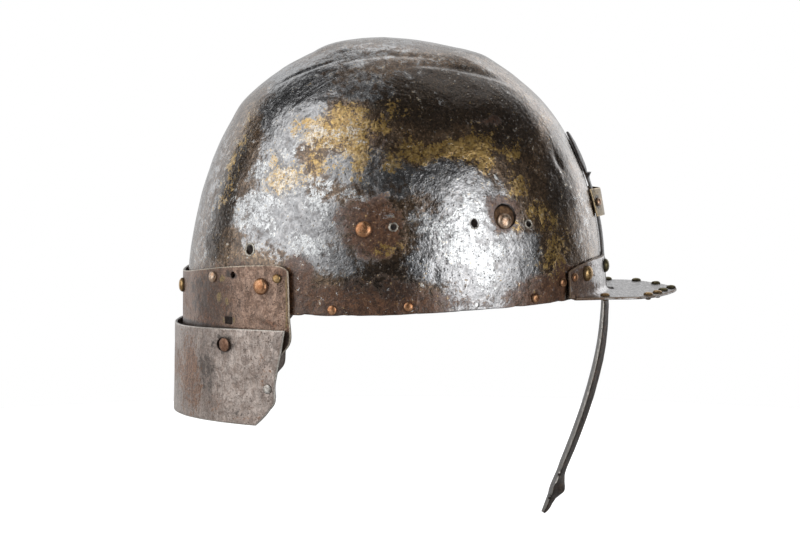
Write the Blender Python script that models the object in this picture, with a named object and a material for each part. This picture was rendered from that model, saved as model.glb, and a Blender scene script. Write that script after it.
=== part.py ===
"""Iron helmet with a riveted peak, a sliding nasal bar and a neck guard of two lames.

Frame: metres, +Z up.  The face looks along -Y, the wearer's right side is -X,
and the origin is the middle of the head opening, level with the rim.
All lengths in the constants and tables below are in millimetres.
"""

import math

import bmesh
import bpy
import numpy as np
from mathutils import Vector

MM = 0.001

# ------------------------------------------------------------------ skull
SKULL_WALL = 1.7
SKULL_SEGMENTS = 48
RIM_LOW = 0.6          # height of the rim at the nape
RIM_RISE = 4.7         # how much higher the rim stands over the brow
# horizontal sections: height, nape (+Y), brow (-Y), half width
SKULL_SECTIONS = (
    # z      nape    brow   side
    (0.0, 110.2, -110.2, 96.0),
    (10.0, 110.2, -110.3, 96.1),
    (22.0, 109.8, -110.1, 96.0),
    (34.0, 108.2, -109.4, 95.0),
    (46.0, 105.9, -107.5, 93.4),
    (58.5, 102.9, -104.3, 91.0),
    (71.5, 98.7, -99.9, 87.5),
    (84.3, 93.9, -94.4, 83.0),
    (96.0, 87.7, -87.8, 77.4),
    (107.0, 80.9, -79.3, 70.8),
    (117.0, 69.9, -68.6, 61.8),
    (126.1, 57.0, -56.4, 50.8),
    (132.6, 45.2, -45.2, 40.0),
    (137.3, 35.4, -25.6, 28.4),
    (140.1, 21.1, -9.9, 14.5),
)
APEX_Z, APEX_Y = 141.3, 6.0

# open holes in the skull: along, up, half size along, half size up
SKULL_HOLES = (
    # y      z     ry    rz
    (75.5, 33.2, 2.3, 2.6),
    (1.7, 46.7, 1.6, 1.6),
    (-39.6, 48.1, 2.0, 2.4),
    (-68.1, 46.7, 1.6, 1.6),
    (-41.1, 6.5, 1.2, 1.2),
)
# the worn hole beside the front brow rivet, and the round plug that fills it
PLUG_Y, PLUG_Z, PLUG_HOLE_R, PLUG_R, PLUG_T = -55.6, 51.2, 6.6, 5.5, 1.3
PLUG_SHIFT_Y, PLUG_SHIFT_Z = 0.55, -0.35     # the plug sits low and to the back

# ------------------------------------------------------------- nasal bar
SLIDE_Y, SLIDE_Z = 118.6, 12.6     # centre of the arc along which the bar slides
SLIDE_R = 229.4                    # radius of the bar's back face
BAR_POINTS = 7                     # points across the bar's face
# stations down the bar: angle below the arc's centre, half width,
# thickness at the sides, thickness on the middle ridge, and how far the back
# face leaves the arc (negative: towards the skull)
BAR_STATIONS = (
    # angle  half   edge  ridge  lean
    (-20.3, 1.2, 1.0, 1.2, 0.0),
    (-19.9, 4.2, 1.1, 1.6, 0.0),
    (-19.0, 8.0, 1.1, 1.8, 0.0),
    (-18.0, 10.6, 1.1, 2.0, 0.0),
    (-16.8, 12.0, 1.2, 2.2, 0.0),
    (-15.7, 11.6, 1.2, 2.2, 0.0),
    (-14.9, 9.4, 1.2, 2.1, 0.0),
    (-14.3, 5.4, 1.0, 1.8, 0.0),
    (-13.6, 4.6, 0.8, 1.8, -1.9),
    (-12.4, 4.6, 0.8, 1.8, -1.7),
    (-11.0, 4.6, 0.8, 1.9, -1.1),
    (-9.0, 4.6, 0.8, 1.9, -0.6),
    (-6.0, 4.6, 0.8, 1.9, -0.15),
    (-3.0, 4.7, 0.8, 2.0, 0.0),
    (-1.0, 4.8, 0.9, 2.3, 0.0),
    (0.6, 4.9, 0.9, 2.7, 0.0),
    (2.0, 5.1, 1.1, 3.5, 0.3),
    (3.6, 5.2, 1.3, 4.1, 0.6),
    (6.0, 5.4, 1.4, 4.5, 0.7),
    (8.5, 5.6, 1.4, 4.8, 0.8),
    (11.0, 5.8, 1.5, 5.0, 0.7),
    (14.0, 6.0, 1.5, 5.0, 0.5),
    (17.0, 6.2, 1.5, 5.0, 0.4),
    (20.0, 6.4, 1.5, 4.9, 0.4),
    (23.0, 6.5, 1.5, 4.7, 0.7),
    (25.5, 6.3, 1.5, 4.5, 1.2),
    (26.8, 5.8, 1.5, 4.7, 1.8),
    (27.5, 7.4, 1.5, 5.6, 2.2),
    (28.2, 8.8, 1.5, 6.6, 2.6),
    (29.0, 9.0, 1.5, 6.9, 2.9),
    (29.7, 7.8, 1.5, 5.9, 3.3),
    (30.2, 4.8, 1.5, 4.7, 3.7),
    (30.9, 4.2, 1.5, 4.1, 4.2),
    (31.6, 3.6, 1.5, 3.7, 4.7),
    (32.2, 2.4, 1.5, 3.0, 5.1),
    (32.6, 1.0, 1.5, 2.2, 5.3),
)
LEAF_ABOVE = -14.2                 # above this angle the bar spreads into a leaf
LEAF_GAP = 0.4                     # between the leaf and the skull

# staple that guides the bar
STAPLE_LOW, STAPLE_HIGH = 46.2, 60.8
STAPLE_HALF = 13.8
STAPLE_T = 0.9
STAPLE_RIDGE_R = 232.55            # inner ridge, from the slide centre
STAPLE_ROUND = 1.35                # power that rounds its shoulders
STAPLE_POINTS = 11

# ------------------------------------------------------------------ peak
PEAK_T = 1.3
PEAK_Z = 6.9                       # upper face of the flat plate
PEAK_BACK_Y = -90.4                # where the flange ends at each side
PEAK_COLUMNS = 41
PEAK_BEND = 3.2                    # bend radius between flange and plate
FLANGE_TOP, FLANGE_END = 25.6, 20.2
FLANGE_GAP_HIGH, FLANGE_GAP_LOW = 0.5, 1.1
SLOT_HALF, SLOT_FRONT_Y = 6.7, -117.4
# outline of the flat plate: how far forward, half width
PEAK_OUTLINE = (
    # y       half
    (-89.5, 58.4),
    (-93.5, 56.4),
    (-98.0, 55.0),
    (-106.0, 53.6),
    (-114.0, 52.4),
    (-121.0, 51.0),
    (-127.0, 49.2),
    (-131.5, 46.4),
    (-135.5, 42.0),
    (-139.0, 36.2),
    (-142.6, 29.0),
    (-146.0, 21.0),
    (-148.8, 12.5),
    (-150.6, 5.0),
    (-151.0, 0.0),
)

# ----------------------------------------------------------- neck guard
LAME_T = 1.5
LAME_COLUMNS = 37
# rows of the upper lame: height, where its front edge is on the wearer's right
# and left, half length, half width, and how much lower the row is at the nape
UPPER_ROWS = (
    # z     right  left   a      b     dip
    (26.3, 61.5, 61.5, 113.1, 99.1, 8.8),
    (25.6, 58.3, 58.3, 113.1, 99.1, 8.6),
    (24.2, 56.1, 56.1, 113.1, 99.1, 8.3),
    (21.5, 55.3, 55.3, 113.1, 99.1, 7.7),
    (0.0, 54.8, 54.8, 113.1, 99.1, 3.6),
    (-12.5, 54.4, 54.4, 113.1, 99.1, 1.4),
    (-20.0, 59.4, 59.4, 113.1, 99.1, 0.0),
)
UPPER_DIP_POWER = 2.2
# rows of the lower lame
LOWER_ROWS = (
    # z     right  left   a      b     dip
    (-6.6, 57.2, 57.0, 117.4, 101.6, 3.0),
    (-16.0, 58.8, 58.2, 117.6, 101.7, 2.6),
    (-26.0, 60.7, 59.2, 117.8, 101.9, 2.2),
    (-35.0, 62.4, 60.4, 118.0, 102.0, 1.8),
    (-43.5, 62.4, 61.2, 118.2, 102.2, 1.3),
    (-48.0, 65.3, 64.6, 118.3, 102.3, 1.0),
    (-52.0, 68.4, 68.0, 118.4, 102.3, 0.7),
    (-56.3, 72.6, 72.6, 118.5, 102.4, 0.5),
)
LOWER_DIP_POWER = 2.0
PIVOT_Y, PIVOT_Z = 88.0, -15.9     # the two loose rivets that carry the lower lame
PIVOT_HOLE_BACK, PIVOT_HOLE_RX, PIVOT_HOLE_RZ = 1.0, 4.9, 3.7
PIVOT_HEAD_GAP = 0.8
SQUARE_HOLE_Y, SQUARE_HOLE_Z = 86.5, -3.7
SQUARE_HOLE_WIDE, SQUARE_HOLE_TALL = 5.8, 4.0
ROUND_HOLE_Y, ROUND_HOLE_Z, ROUND_HOLE_R = 84.2, 20.0, 1.7

# ---------------------------------------------------------------- rivets
HEAD_GAP = 0.25                    # under a rivet head
FLANGE_HEAD_GAP = 0.6              # under a head on the flaring flange
TAIL_GAP = 0.55                    # between a rivet's tail and the wall inside
HOLE_PLAY = 0.45                   # from a shank to the corners of its hole
# sheets: which stack of sheets the rivet goes through
RIVETS = (
    # name                 sheets    x      y       z     head  rise  shank
    ("skull_rivet_r1", "skull", -1, 16.8, 45.4, 8.6, 2.6, 3.0),
    ("skull_rivet_l1", "skull", 1, 16.8, 45.4, 8.6, 2.6, 3.0),
    ("skull_rivet_r2", "skull", -1, -54.9, 48.6, 8.4, 2.8, 2.6),
    ("skull_rivet_l2", "skull", 1, -54.9, 48.6, 8.4, 2.8, 3.0),
    ("rim_rivet_r1", "skull", -1, 32.8, 4.3, 5.0, 1.4, 2.2),
    ("rim_rivet_l1", "skull", 1, 32.8, 4.3, 5.0, 1.4, 2.2),
    ("rim_rivet_r2", "skull", -1, -5.9, 6.4, 5.0, 1.4, 2.2),
    ("rim_rivet_l2", "skull", 1, -5.9, 6.4, 5.0, 1.4, 2.2),
    ("rim_rivet_r3", "skull", -1, -71.4, 8.5, 5.0, 1.4, 2.2),
    ("rim_rivet_l3", "skull", 1, -71.4, 8.5, 5.0, 1.4, 2.2),
    ("rim_rivet_r4", "skull", -1, -86.2, 15.3, 5.0, 1.5, 2.2),
    ("rim_rivet_l4", "skull", 1, -86.2, 15.3, 5.0, 1.5, 2.2),
    ("nape_rivet_mid", "upper", -1, 112.1, 10.1, 7.4, 2.4, 3.0),
    ("nape_rivet_r1", "upper", -1, 94.6, 18.0, 6.2, 2.0, 2.4),
    ("nape_rivet_l1", "upper", 1, 94.6, 18.0, 6.2, 2.0, 2.4),
    ("nape_rivet_r2", "upper", -1, 69.2, 15.2, 8.6, 2.7, 3.0),
    ("nape_rivet_l2", "upper", 1, 69.2, 15.2, 8.6, 2.7, 3.0),
    ("nape_rivet_r3", "upper", -1, 61.0, 19.7, 4.8, 1.6, 2.2),
    ("nape_rivet_l3", "upper", 1, 61.0, 19.7, 4.8, 1.6, 2.2),
    ("lame_pivot_r", "both", -1, PIVOT_Y, PIVOT_Z, 8.5, 1.5, 3.0),
    ("lame_pivot_l", "both", 1, PIVOT_Y, PIVOT_Z, 8.5, 1.5, 3.0),
    ("lame_rivet_r", "lower", -1, 66.0, -37.0, 5.0, 1.2, 2.2),
    ("lame_rivet_l", "lower", 1, 66.0, -37.0, 5.0, 1.2, 2.2),
    ("flange_rivet_r1", "flange", -1, -92.4, 17.6, 4.8, 1.6, 2.2),
    ("flange_rivet_l1", "flange", 1, -92.4, 17.6, 4.8, 1.6, 2.2),
    ("flange_rivet_r2", "flange", -1, -99.6, 18.7, 8.2, 2.6, 3.0),
    ("flange_rivet_l2", "flange", 1, -99.6, 18.7, 8.2, 2.6, 3.0),
    ("flange_rivet_r3", "flange", -1, -111.2, 20.0, 7.6, 2.3, 2.6),
    ("flange_rivet_l3", "flange", 1, -111.2, 20.0, 7.6, 2.3, 2.6),
    ("peak_rivet_r1", "plate", -46.8, -109.2, 0, 5.2, 1.6, 2.2),
    ("peak_rivet_r2", "plate", -41.4, -132.2, 0, 5.2, 1.6, 2.2),
    ("peak_rivet_r3", "plate", -30.8, -138.0, 0, 5.2, 1.6, 2.2),
    ("peak_rivet_r4", "plate", -17.4, -142.2, 0, 5.2, 1.6, 2.2),
    ("peak_rivet_tip", "plate", -3.0, -147.8, 0, 5.2, 1.6, 2.2),
    ("peak_rivet_l1", "plate", 47.4, -117.4, 0, 5.2, 1.6, 2.2),
    ("peak_rivet_l2", "plate", 40.0, -132.8, 0, 5.2, 1.6, 2.2),
    ("peak_rivet_l3", "plate", 21.5, -141.8, 0, 5.2, 1.6, 2.2),
    ("staple_rivet_r", "staple", -1, 0.0, 53.6, 4.6, 1.7, 2.2),
    ("staple_rivet_l", "staple", 1, 0.0, 53.6, 4.6, 1.7, 2.2),
)
STAPLE_RIVET_X = 9.5

# finishes: colour, metallic, roughness
FINISHES = {
    "skull_iron": ((0.115, 0.088, 0.070), 0.85, 0.42),
    "lame_iron": ((0.170, 0.125, 0.105), 0.75, 0.55),
    "peak_iron": ((0.200, 0.165, 0.150), 0.85, 0.42),
    "bar_iron": ((0.085, 0.068, 0.056), 0.80, 0.50),
    "staple_brass": ((0.240, 0.180, 0.110), 0.85, 0.45),
    "rivet_copper": ((0.480, 0.250, 0.130), 0.90, 0.36),
    "rivet_brass": ((0.260, 0.190, 0.090), 0.85, 0.42),
}


# ------------------------------------------------------------ clean start
for old in list(bpy.data.objects):
    bpy.data.objects.remove(old, do_unlink=True)


# ---------------------------------------------------------------- helpers
def finish(name):
    colour, metallic, roughness = FINISHES[name]
    mat = bpy.data.materials.get(name)
    if mat is None:
        mat = bpy.data.materials.new(name)
        mat.use_nodes = True
        shader = mat.node_tree.nodes["Principled BSDF"]
        shader.inputs["Base Color"].default_value = (*colour, 1.0)
        shader.inputs["Metallic"].default_value = metallic
        shader.inputs["Roughness"].default_value = roughness
    return mat


def smoothstep(a, b, v):
    s = min(1.0, max(0.0, (v - a) / (b - a)))
    return s * s * (3.0 - 2.0 * s)


def table_at(table, key, column, value):
    """Straight-line reading of one column of a table, by another column."""
    rows = sorted(table, key=lambda r: r[key])
    return float(np.interp(value, [r[key] for r in rows], [r[column] for r in rows]))


def add_object(name, points, faces, material, angle=35.0):
    """A mesh object from millimetre points in the model's frame."""
    mesh = bpy.data.meshes.new(name)
    mesh.from_pydata([tuple(c * MM for c in p) for p in points], [], faces)
    mesh.update()
    obj = bpy.data.objects.new(name, mesh)
    bpy.context.scene.collection.objects.link(obj)
    if material:
        mesh.materials.append(finish(material))
    mesh.shade_smooth()
    mesh.set_sharp_from_angle(angle=math.radians(angle))
    return obj


def move_origin(obj, point):
    """Put the object's origin on a point without moving its shape."""
    shift = Vector([c * MM for c in point])
    for v in obj.data.vertices:
        v.co -= shift
    obj.location = shift


def cutter(name, bodies):
    """One hidden cutter made of several closed bodies that don't touch."""
    points, faces = [], []
    for body_points, body_faces in bodies:
        base = len(points)
        points += body_points
        faces += [tuple(i + base for i in f) for f in body_faces]
    obj = add_object(name, points, faces, None)
    obj.hide_render = True
    obj.display_type = "WIRE"
    return obj


def cut(obj, tool):
    mod = obj.modifiers.new("holes", "BOOLEAN")
    mod.operation = "DIFFERENCE"
    mod.solver = "EXACT"
    mod.object = tool


def frame_on(normal):
    """Two unit vectors across a normal, the second one as upright as it can be."""
    n = np.array(normal, float)
    n /= np.linalg.norm(n)
    up = np.array((0.0, 0.0, 1.0)) if abs(n[2]) < 0.9 else np.array((0.0, -1.0, 0.0))
    side = np.cross(up, n)
    side /= np.linalg.norm(side)
    return n, side, np.cross(n, side)


def peg(centre, normal, r_side, r_up, above, below, sides=8, turn=0.0):
    """A straight prism through a wall, as points and faces."""
    n, side, up = frame_on(normal)
    centre = np.array(centre, float)
    points = []
    for height in (above, -below):
        for i in range(sides):
            a = turn + 2 * math.pi * i / sides
            p = centre + n * height + side * r_side * math.cos(a) + up * r_up * math.sin(a)
            points.append(tuple(p))
    faces = [tuple(range(sides)), tuple(range(2 * sides - 1, sides - 1, -1))]
    for i in range(sides):
        j = (i + 1) % sides
        faces.append((i, i + sides, j + sides, j))
    return points, faces


def turned(profile, centre, normal, sides):
    """A solid turned about an axis.  profile: (radius, height) from top to bottom."""
    n, side, up = frame_on(normal)
    centre = np.array(centre, float)
    points, rings, faces = [], [], []
    for r, h in profile:
        if r < 1e-6:
            rings.append([len(points)])
            points.append(tuple(centre + n * h))
        else:
            start = len(points)
            for i in range(sides):
                a = 2 * math.pi * i / sides
                points.append(tuple(centre + n * h + side * r * math.cos(a) + up * r * math.sin(a)))
            rings.append(list(range(start, start + sides)))
    for one, two in zip(rings, rings[1:]):
        for i in range(sides):
            j = (i + 1) % sides
            if len(one) == 1:
                faces.append((one[0], two[i], two[j]))
            elif len(two) == 1:
                faces.append((one[i], two[0], one[j]))
            else:
                faces.append((one[i], two[i], two[j], one[j]))
    return points, faces


def sheet_object(name, outer, inner, material, angle=35.0):
    """A closed sheet from two grids of points, outer and inner, joined round the edge."""
    rows, cols = len(outer), len(outer[0])
    points = [p for row in outer for p in row] + [p for row in inner for p in row]
    half = rows * cols

    def o(r, c):
        return r * cols + c

    faces = []
    for r in range(rows - 1):
        for c in range(cols - 1):
            faces.append((o(r, c), o(r + 1, c), o(r + 1, c + 1), o(r, c + 1)))
            faces.append((half + o(r, c), half + o(r, c + 1), half + o(r + 1, c + 1), half + o(r + 1, c)))
    for c in range(cols - 1):
        faces.append((o(0, c), o(0, c + 1), half + o(0, c + 1), half + o(0, c)))
        faces.append((o(rows - 1, c + 1), o(rows - 1, c), half + o(rows - 1, c), half + o(rows - 1, c + 1)))
    for r in range(rows - 1):
        faces.append((o(r + 1, 0), o(r, 0), half + o(r, 0), half + o(r + 1, 0)))
        faces.append((o(r, cols - 1), o(r + 1, cols - 1), half + o(r + 1, cols - 1), half + o(r, cols - 1)))
    obj = add_object(name, points, faces, material, angle)
    face_out(obj)
    return obj


def face_out(obj):
    """Turn every face of a closed mesh outwards."""
    bm = bmesh.new()
    bm.from_mesh(obj.data)
    bmesh.ops.recalc_face_normals(bm, faces=bm.faces)
    if bm.calc_volume(signed=True) < 0:
        bmesh.ops.reverse_faces(bm, faces=bm.faces)
    bm.to_mesh(obj.data)
    bm.free()


# ------------------------------------------------------------------ skull
def section_at(z):
    """Middle, half length and half width of the skull's section at a height."""
    z = min(max(z, 0.0), SKULL_SECTIONS[-1][0])
    nape = table_at(SKULL_SECTIONS, 0, 1, z)
    brow = table_at(SKULL_SECTIONS, 0, 2, z)
    side = table_at(SKULL_SECTIONS, 0, 3, z)
    return (nape + brow) / 2, (nape - brow) / 2, side


def rim_height(y):
    return RIM_LOW + RIM_RISE * smoothstep(60.0, -105.0, y)


def skull_point(angle, z):
    """Point of the outer face.  angle 0 is the nape, 90 degrees the wearer's left (+X)."""
    mid, a, b = section_at(z)
    return np.array((b * math.sin(angle), mid + a * math.cos(angle), z))


def skull_normal(angle, z):
    step = 1.5
    low, high = max(z - step, 0.0), max(z, 0.0) + step
    along = skull_point(angle, high) - skull_point(angle, low)
    around = skull_point(angle + 0.01, z) - skull_point(angle - 0.01, z)
    n = np.cross(along, around)
    n /= np.linalg.norm(n)
    p = skull_point(angle, z)
    if n[0] * p[0] + n[1] * (p[1] - section_at(z)[0]) + n[2] * 20 < 0:
        n = -n
    return n


def skull_on(side, y, z):
    """The outer face's point and normal at a place given along and up."""
    mid, a, b = section_at(z)
    c = min(1.0, max(-1.0, (y - mid) / a))
    angle = math.acos(c) * (1 if side >= 0 else -1)
    return skull_point(angle, z), skull_normal(angle, z)


def build_skull():
    outer, inner = [], []
    for k, (z, _, _, _) in enumerate(SKULL_SECTIONS):
        ring_o, ring_i = [], []
        for i in range(SKULL_SEGMENTS):
            angle = 2 * math.pi * i / SKULL_SEGMENTS
            p = skull_point(angle, z)
            n = skull_normal(angle, z)
            q = p - n * SKULL_WALL
            if k == 0:
                p[2] = q[2] = rim_height(p[1])
            ring_o.append(tuple(p))
            ring_i.append(tuple(q))
        outer.append(ring_o)
        inner.append(ring_i)
    points = [p for ring in outer for p in ring] + [p for ring in inner for p in ring]
    rows, n = len(SKULL_SECTIONS), SKULL_SEGMENTS
    half = rows * n
    faces = []
    for r in range(rows - 1):
        for i in range(n):
            j = (i + 1) % n
            faces.append((r * n + i, r * n + j, (r + 1) * n + j, (r + 1) * n + i))
            faces.append((half + r * n + i, half + (r + 1) * n + i, half + (r + 1) * n + j, half + r * n + j))
    top_o, top_i = len(points), len(points) + 1
    points += [(0.0, APEX_Y, APEX_Z), (0.0, APEX_Y, APEX_Z - SKULL_WALL)]
    for i in range(n):
        j = (i + 1) % n
        faces.append(((rows - 1) * n + i, (rows - 1) * n + j, top_o))
        faces.append((half + (rows - 1) * n + j, half + (rows - 1) * n + i, top_i))
        faces.append((j, i, half + i, half + j))
    obj = add_object("skull", points, faces, "skull_iron")
    face_out(obj)
    return obj


# ------------------------------------------------------------------ lames
def build_lame(name, rows, power):
    """A curved sheet round the nape from its table of rows."""
    outer, inner = [], []
    for z, right, left, a, b, dip in rows:
        ring_o, ring_i = [], []
        for c in range(LAME_COLUMNS):
            u = -1.0 + 2.0 * c / (LAME_COLUMNS - 1)
            angle = math.acos((right if u < 0 else left) / a) * u
            y = a * math.cos(angle)
            drop = -dip * max(0.0, (y - 57.0) / (113.0 - 57.0)) ** power
            ring_o.append((b * math.sin(angle), y, z + drop))
            ring_i.append(((b - LAME_T) * math.sin(angle), (a - LAME_T) * math.cos(angle), z + drop))
        outer.append(ring_o)
        inner.append(ring_i)
    return sheet_object(name, outer, inner, "lame_iron")


def lame_on(rows, side, y, z, inset=0.0):
    """Point and normal of a lame's outer face, or of a face further in."""
    a = table_at(rows, 0, 3, z) - inset
    b = table_at(rows, 0, 4, z) - inset
    angle = math.acos(min(1.0, y / a)) * (1 if side >= 0 else -1) if side else 0.0
    n = np.array((math.sin(angle) / b, math.cos(angle) / a, 0.0))
    return np.array((b * math.sin(angle), a * math.cos(angle), z)), n / np.linalg.norm(n)


# ------------------------------------------------------------------- peak
def flange_gap(z):
    return FLANGE_GAP_HIGH + (FLANGE_GAP_LOW - FLANGE_GAP_HIGH) * smoothstep(24.0, 10.0, z)


def flange_on(side, y, z):
    """Point and normal of the flange's outer face."""
    mid, a, b = section_at(z)
    off = flange_gap(z) + PEAK_T
    a, b = a + off, b + off
    angle = math.acos(max(-1.0, (y - mid) / a)) * (1 if side >= 0 else -1)
    p = np.array((b * math.sin(angle), mid + a * math.cos(angle), z))
    n = np.array((math.sin(angle) / b, math.cos(angle) / a, 0.0))
    return p, n / np.linalg.norm(n)


def plate_edge(u):
    """Plan point of the plate's edge; u runs from -1, its right rear corner, to 1."""
    lengths = [0.0]
    for one, two in zip(PEAK_OUTLINE, PEAK_OUTLINE[1:]):
        lengths.append(lengths[-1] + math.hypot(two[0] - one[0], two[1] - one[1]))
    s = (1.0 - abs(u)) ** 0.92 * lengths[-1]
    y = float(np.interp(s, lengths, [r[0] for r in PEAK_OUTLINE]))
    half = float(np.interp(s, lengths, [r[1] for r in PEAK_OUTLINE]))
    return np.array((math.copysign(half, u) if u else 0.0, y))


def peak_column(u):
    """Outer-face points of one strip of the peak, from the flange's top to the plate's edge."""
    zs = [None, 21.0, 16.0, 11.0]
    mid, a, b = section_at(12.0)
    off = flange_gap(12.0) + PEAK_T
    end = math.acos((PEAK_BACK_Y - mid) / (a + off))
    start = math.pi - (math.pi - end) * abs(u)
    angle = math.copysign(start, u) if u else math.pi
    top = FLANGE_END + (FLANGE_TOP - FLANGE_END) * min(1.0, ((1.0 - abs(u)) / 0.42)) ** 0.55
    points = []
    for k, z in enumerate(zs):
        z = top if z is None else min(z, top - 1.2 * k)
        m, sa, sb = section_at(z)
        o = flange_gap(z) + PEAK_T
        points.append(np.array(((sb + o) * math.sin(angle), m + (sa + o) * math.cos(angle), z)))
    foot = points[-1].copy()
    edge = plate_edge(u)
    reach = edge - foot[:2]
    length = float(np.linalg.norm(reach))
    way = reach / length
    bend = min(PEAK_BEND, 0.62 * length, foot[2] - PEAK_Z)
    for a_deg in (22.5, 45.0, 67.5, 90.0):
        a_rad = math.radians(a_deg)
        flat = bend * (1.0 - math.cos(a_rad))
        rise = PEAK_Z + bend * (1.0 - math.sin(a_rad))
        points.append(np.array((*(foot[:2] + way * flat), rise)))
    for f in (0.35, 0.7, 1.0):
        flat = bend + (length - bend) * f
        points.append(np.array((*(foot[:2] + way * flat), PEAK_Z)))
    return points


def build_peak():
    cols = [peak_column(-1.0 + 2.0 * c / (PEAK_COLUMNS - 1)) for c in range(PEAK_COLUMNS)]
    grid = np.array(cols).transpose(1, 0, 2)
    rows, n = grid.shape[0], grid.shape[1]
    along = np.gradient(grid, axis=0)
    across = np.gradient(grid, axis=1)
    normal = np.cross(along, across)
    normal /= np.linalg.norm(normal, axis=2, keepdims=True)
    if normal[-2, n // 2, 2] < 0:
        normal = -normal
    inner = grid - normal * PEAK_T
    for r in range(4):                      # the flange's back keeps clear of the skull
        for c in range(n):
            z = grid[r, c, 2]
            mid, a, b = section_at(z)
            o = flange_gap(z)
            angle = math.atan2(grid[r, c, 0] / b, (grid[r, c, 1] - mid) / a)
            inner[r, c] = ((b + o) * math.sin(angle), mid + (a + o) * math.cos(angle), z)
    obj = sheet_object("peak", grid.tolist(), inner.tolist(), "peak_iron", 40.0)
    return obj


# ------------------------------------------------------------------ nasal
def on_arc(x, angle, radius):
    a = math.radians(angle)
    return (x, SLIDE_Y - radius * math.cos(a), SLIDE_Z - radius * math.sin(a))


def skull_radius(x, angle):
    """How far the skull's face is from the slide centre, in one direction."""
    low, high = 180.0, 240.0
    for _ in range(40):
        r = (low + high) / 2
        _, y, z = on_arc(x, angle, r)
        mid, a, b = section_at(z)
        inside = (x / b) ** 2 + ((y - mid) / a) ** 2 < 1.0
        low, high = (r, high) if inside else (low, r)
    return (low + high) / 2


def build_nasal():
    outer, inner = [], []
    for angle, half, edge, ridge, lean in BAR_STATIONS:
        ring_o, ring_i = [], []
        for k in range(BAR_POINTS):
            f = -1.0 + 2.0 * k / (BAR_POINTS - 1)
            x = half * f
            if angle < LEAF_ABOVE:
                back = skull_radius(x, angle) + LEAF_GAP
            else:
                back = SLIDE_R + lean
            front = back + edge + (ridge - edge) * (1.0 - abs(f))
            ring_o.append(on_arc(x, angle, front))
            ring_i.append(on_arc(x, angle, back))
        outer.append(ring_o)
        inner.append(ring_i)
    obj = sheet_object("nasal", outer, inner, "bar_iron", 30.0)
    return obj


def staple_face(x, z, extra):
    """How far forward a face of the staple is at a place across and up."""
    mid, a, b = section_at(z)
    wall = mid - a * math.sqrt(1.0 - (STAPLE_HALF / b) ** 2) - 0.45
    ridge = SLIDE_Y - math.sqrt(STAPLE_RIDGE_R ** 2 - (z - SLIDE_Z) ** 2)
    f = (abs(x) / STAPLE_HALF) ** STAPLE_ROUND
    return wall * f + ridge * (1.0 - f) - extra


def build_staple():
    outer, inner = [], []
    for z in (STAPLE_HIGH, (STAPLE_LOW + STAPLE_HIGH) / 2, STAPLE_LOW):
        ring_o, ring_i = [], []
        for k in range(STAPLE_POINTS):
            x = STAPLE_HALF * (-1.0 + 2.0 * k / (STAPLE_POINTS - 1))
            ring_o.append((x, staple_face(x, z, STAPLE_T), z))
            ring_i.append((x, staple_face(x, z, 0.0), z))
        outer.append(ring_o)
        inner.append(ring_i)
    return sheet_object("nasal_staple", outer, inner, "staple_brass", 25.0)


def staple_rivet_seat(side):
    """Where a staple rivet stands: on the sloping face and square to it."""
    x, z = side * STAPLE_RIVET_X, 53.6
    y = staple_face(x, z, STAPLE_T)
    slope_x = (staple_face(x + 0.5, z, 0.0) - staple_face(x - 0.5, z, 0.0))
    slope_z = (staple_face(x, z + 0.5, 0.0) - staple_face(x, z - 0.5, 0.0))
    n = np.array((slope_x, -1.0, slope_z))
    return np.array((x, y, z)), n / np.linalg.norm(n)


# ----------------------------------------------------------------- rivets
def seat_of(sheets, side, y, z):
    """Outer-face point, axis, and the depth to the far face of the last sheet."""
    if sheets == "skull":
        p, n = skull_on(side, y, z)
        return p, n, SKULL_WALL
    if sheets == "upper":
        p, n = lame_on(UPPER_ROWS, side, y, z)
        q, _ = skull_on(side, y - 3.0 * n[1], z) if side else (np.array((0.0, section_at(z)[0] + section_at(z)[1], z)), None)
        return p, n, float(np.dot(p - q, n)) + SKULL_WALL
    if sheets == "both":
        p, n = lame_on(LOWER_ROWS, side, y, z)
        q, _ = lame_on(UPPER_ROWS, side, y - 5.0 * n[1], z, LAME_T)
        return p, n, float(np.dot(p - q, n))
    if sheets == "lower":
        p, n = lame_on(LOWER_ROWS, side, y, z)
        return p, n, LAME_T
    if sheets == "flange":
        p, n = flange_on(side, y, z)
        return p, n, flange_gap(z) + PEAK_T + SKULL_WALL
    if sheets == "staple":
        p, n = staple_rivet_seat(side)
        mid, a, b = section_at(z)
        back = mid - a * math.sqrt(1.0 - (p[0] / b) ** 2)
        return p, n, (back - p[1] + SKULL_WALL) / abs(n[1]) + 0.8
    return np.array((side, y, PEAK_Z)), np.array((0.0, 0.0, 1.0)), PEAK_T


def build_rivet(name, p, n, depth, head, rise, shank, gap, copper):
    """A domed head, a shank through the sheets and a small tail inside."""
    big = head > 7.0
    sides = 12 if big else 8
    r, s = head / 2, shank / 2
    tail_r, tail_h = s + (0.7 if big else 0.45), 0.8 if big else 0.6
    top = gap
    profile = [(0.0, top + rise), (r * 0.55, top + rise * 0.84), (r * 0.9, top + rise * 0.42), (r, top),
               (s, top), (s, -depth - TAIL_GAP), (tail_r, -depth - TAIL_GAP), (tail_r * 0.7, -depth - TAIL_GAP - tail_h),
               (0.0, -depth - TAIL_GAP - tail_h)]
    points, faces = turned(profile, p, n, sides)
    obj = add_object(name, points, faces, "rivet_copper" if copper else "rivet_brass", 50.0)
    face_out(obj)
    move_origin(obj, p)
    return obj


# --------------------------------------------------------------- assembly
skull = build_skull()
upper = build_lame("neck_lame_upper", UPPER_ROWS, UPPER_DIP_POWER)
lower = build_lame("neck_lame_lower", LOWER_ROWS, LOWER_DIP_POWER)
peak = build_peak()
nasal = build_nasal()
staple = build_staple()

skull_cuts, upper_cuts, lower_cuts, peak_cuts, staple_cuts, plug_cuts = [], [], [], [], [], []

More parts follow.
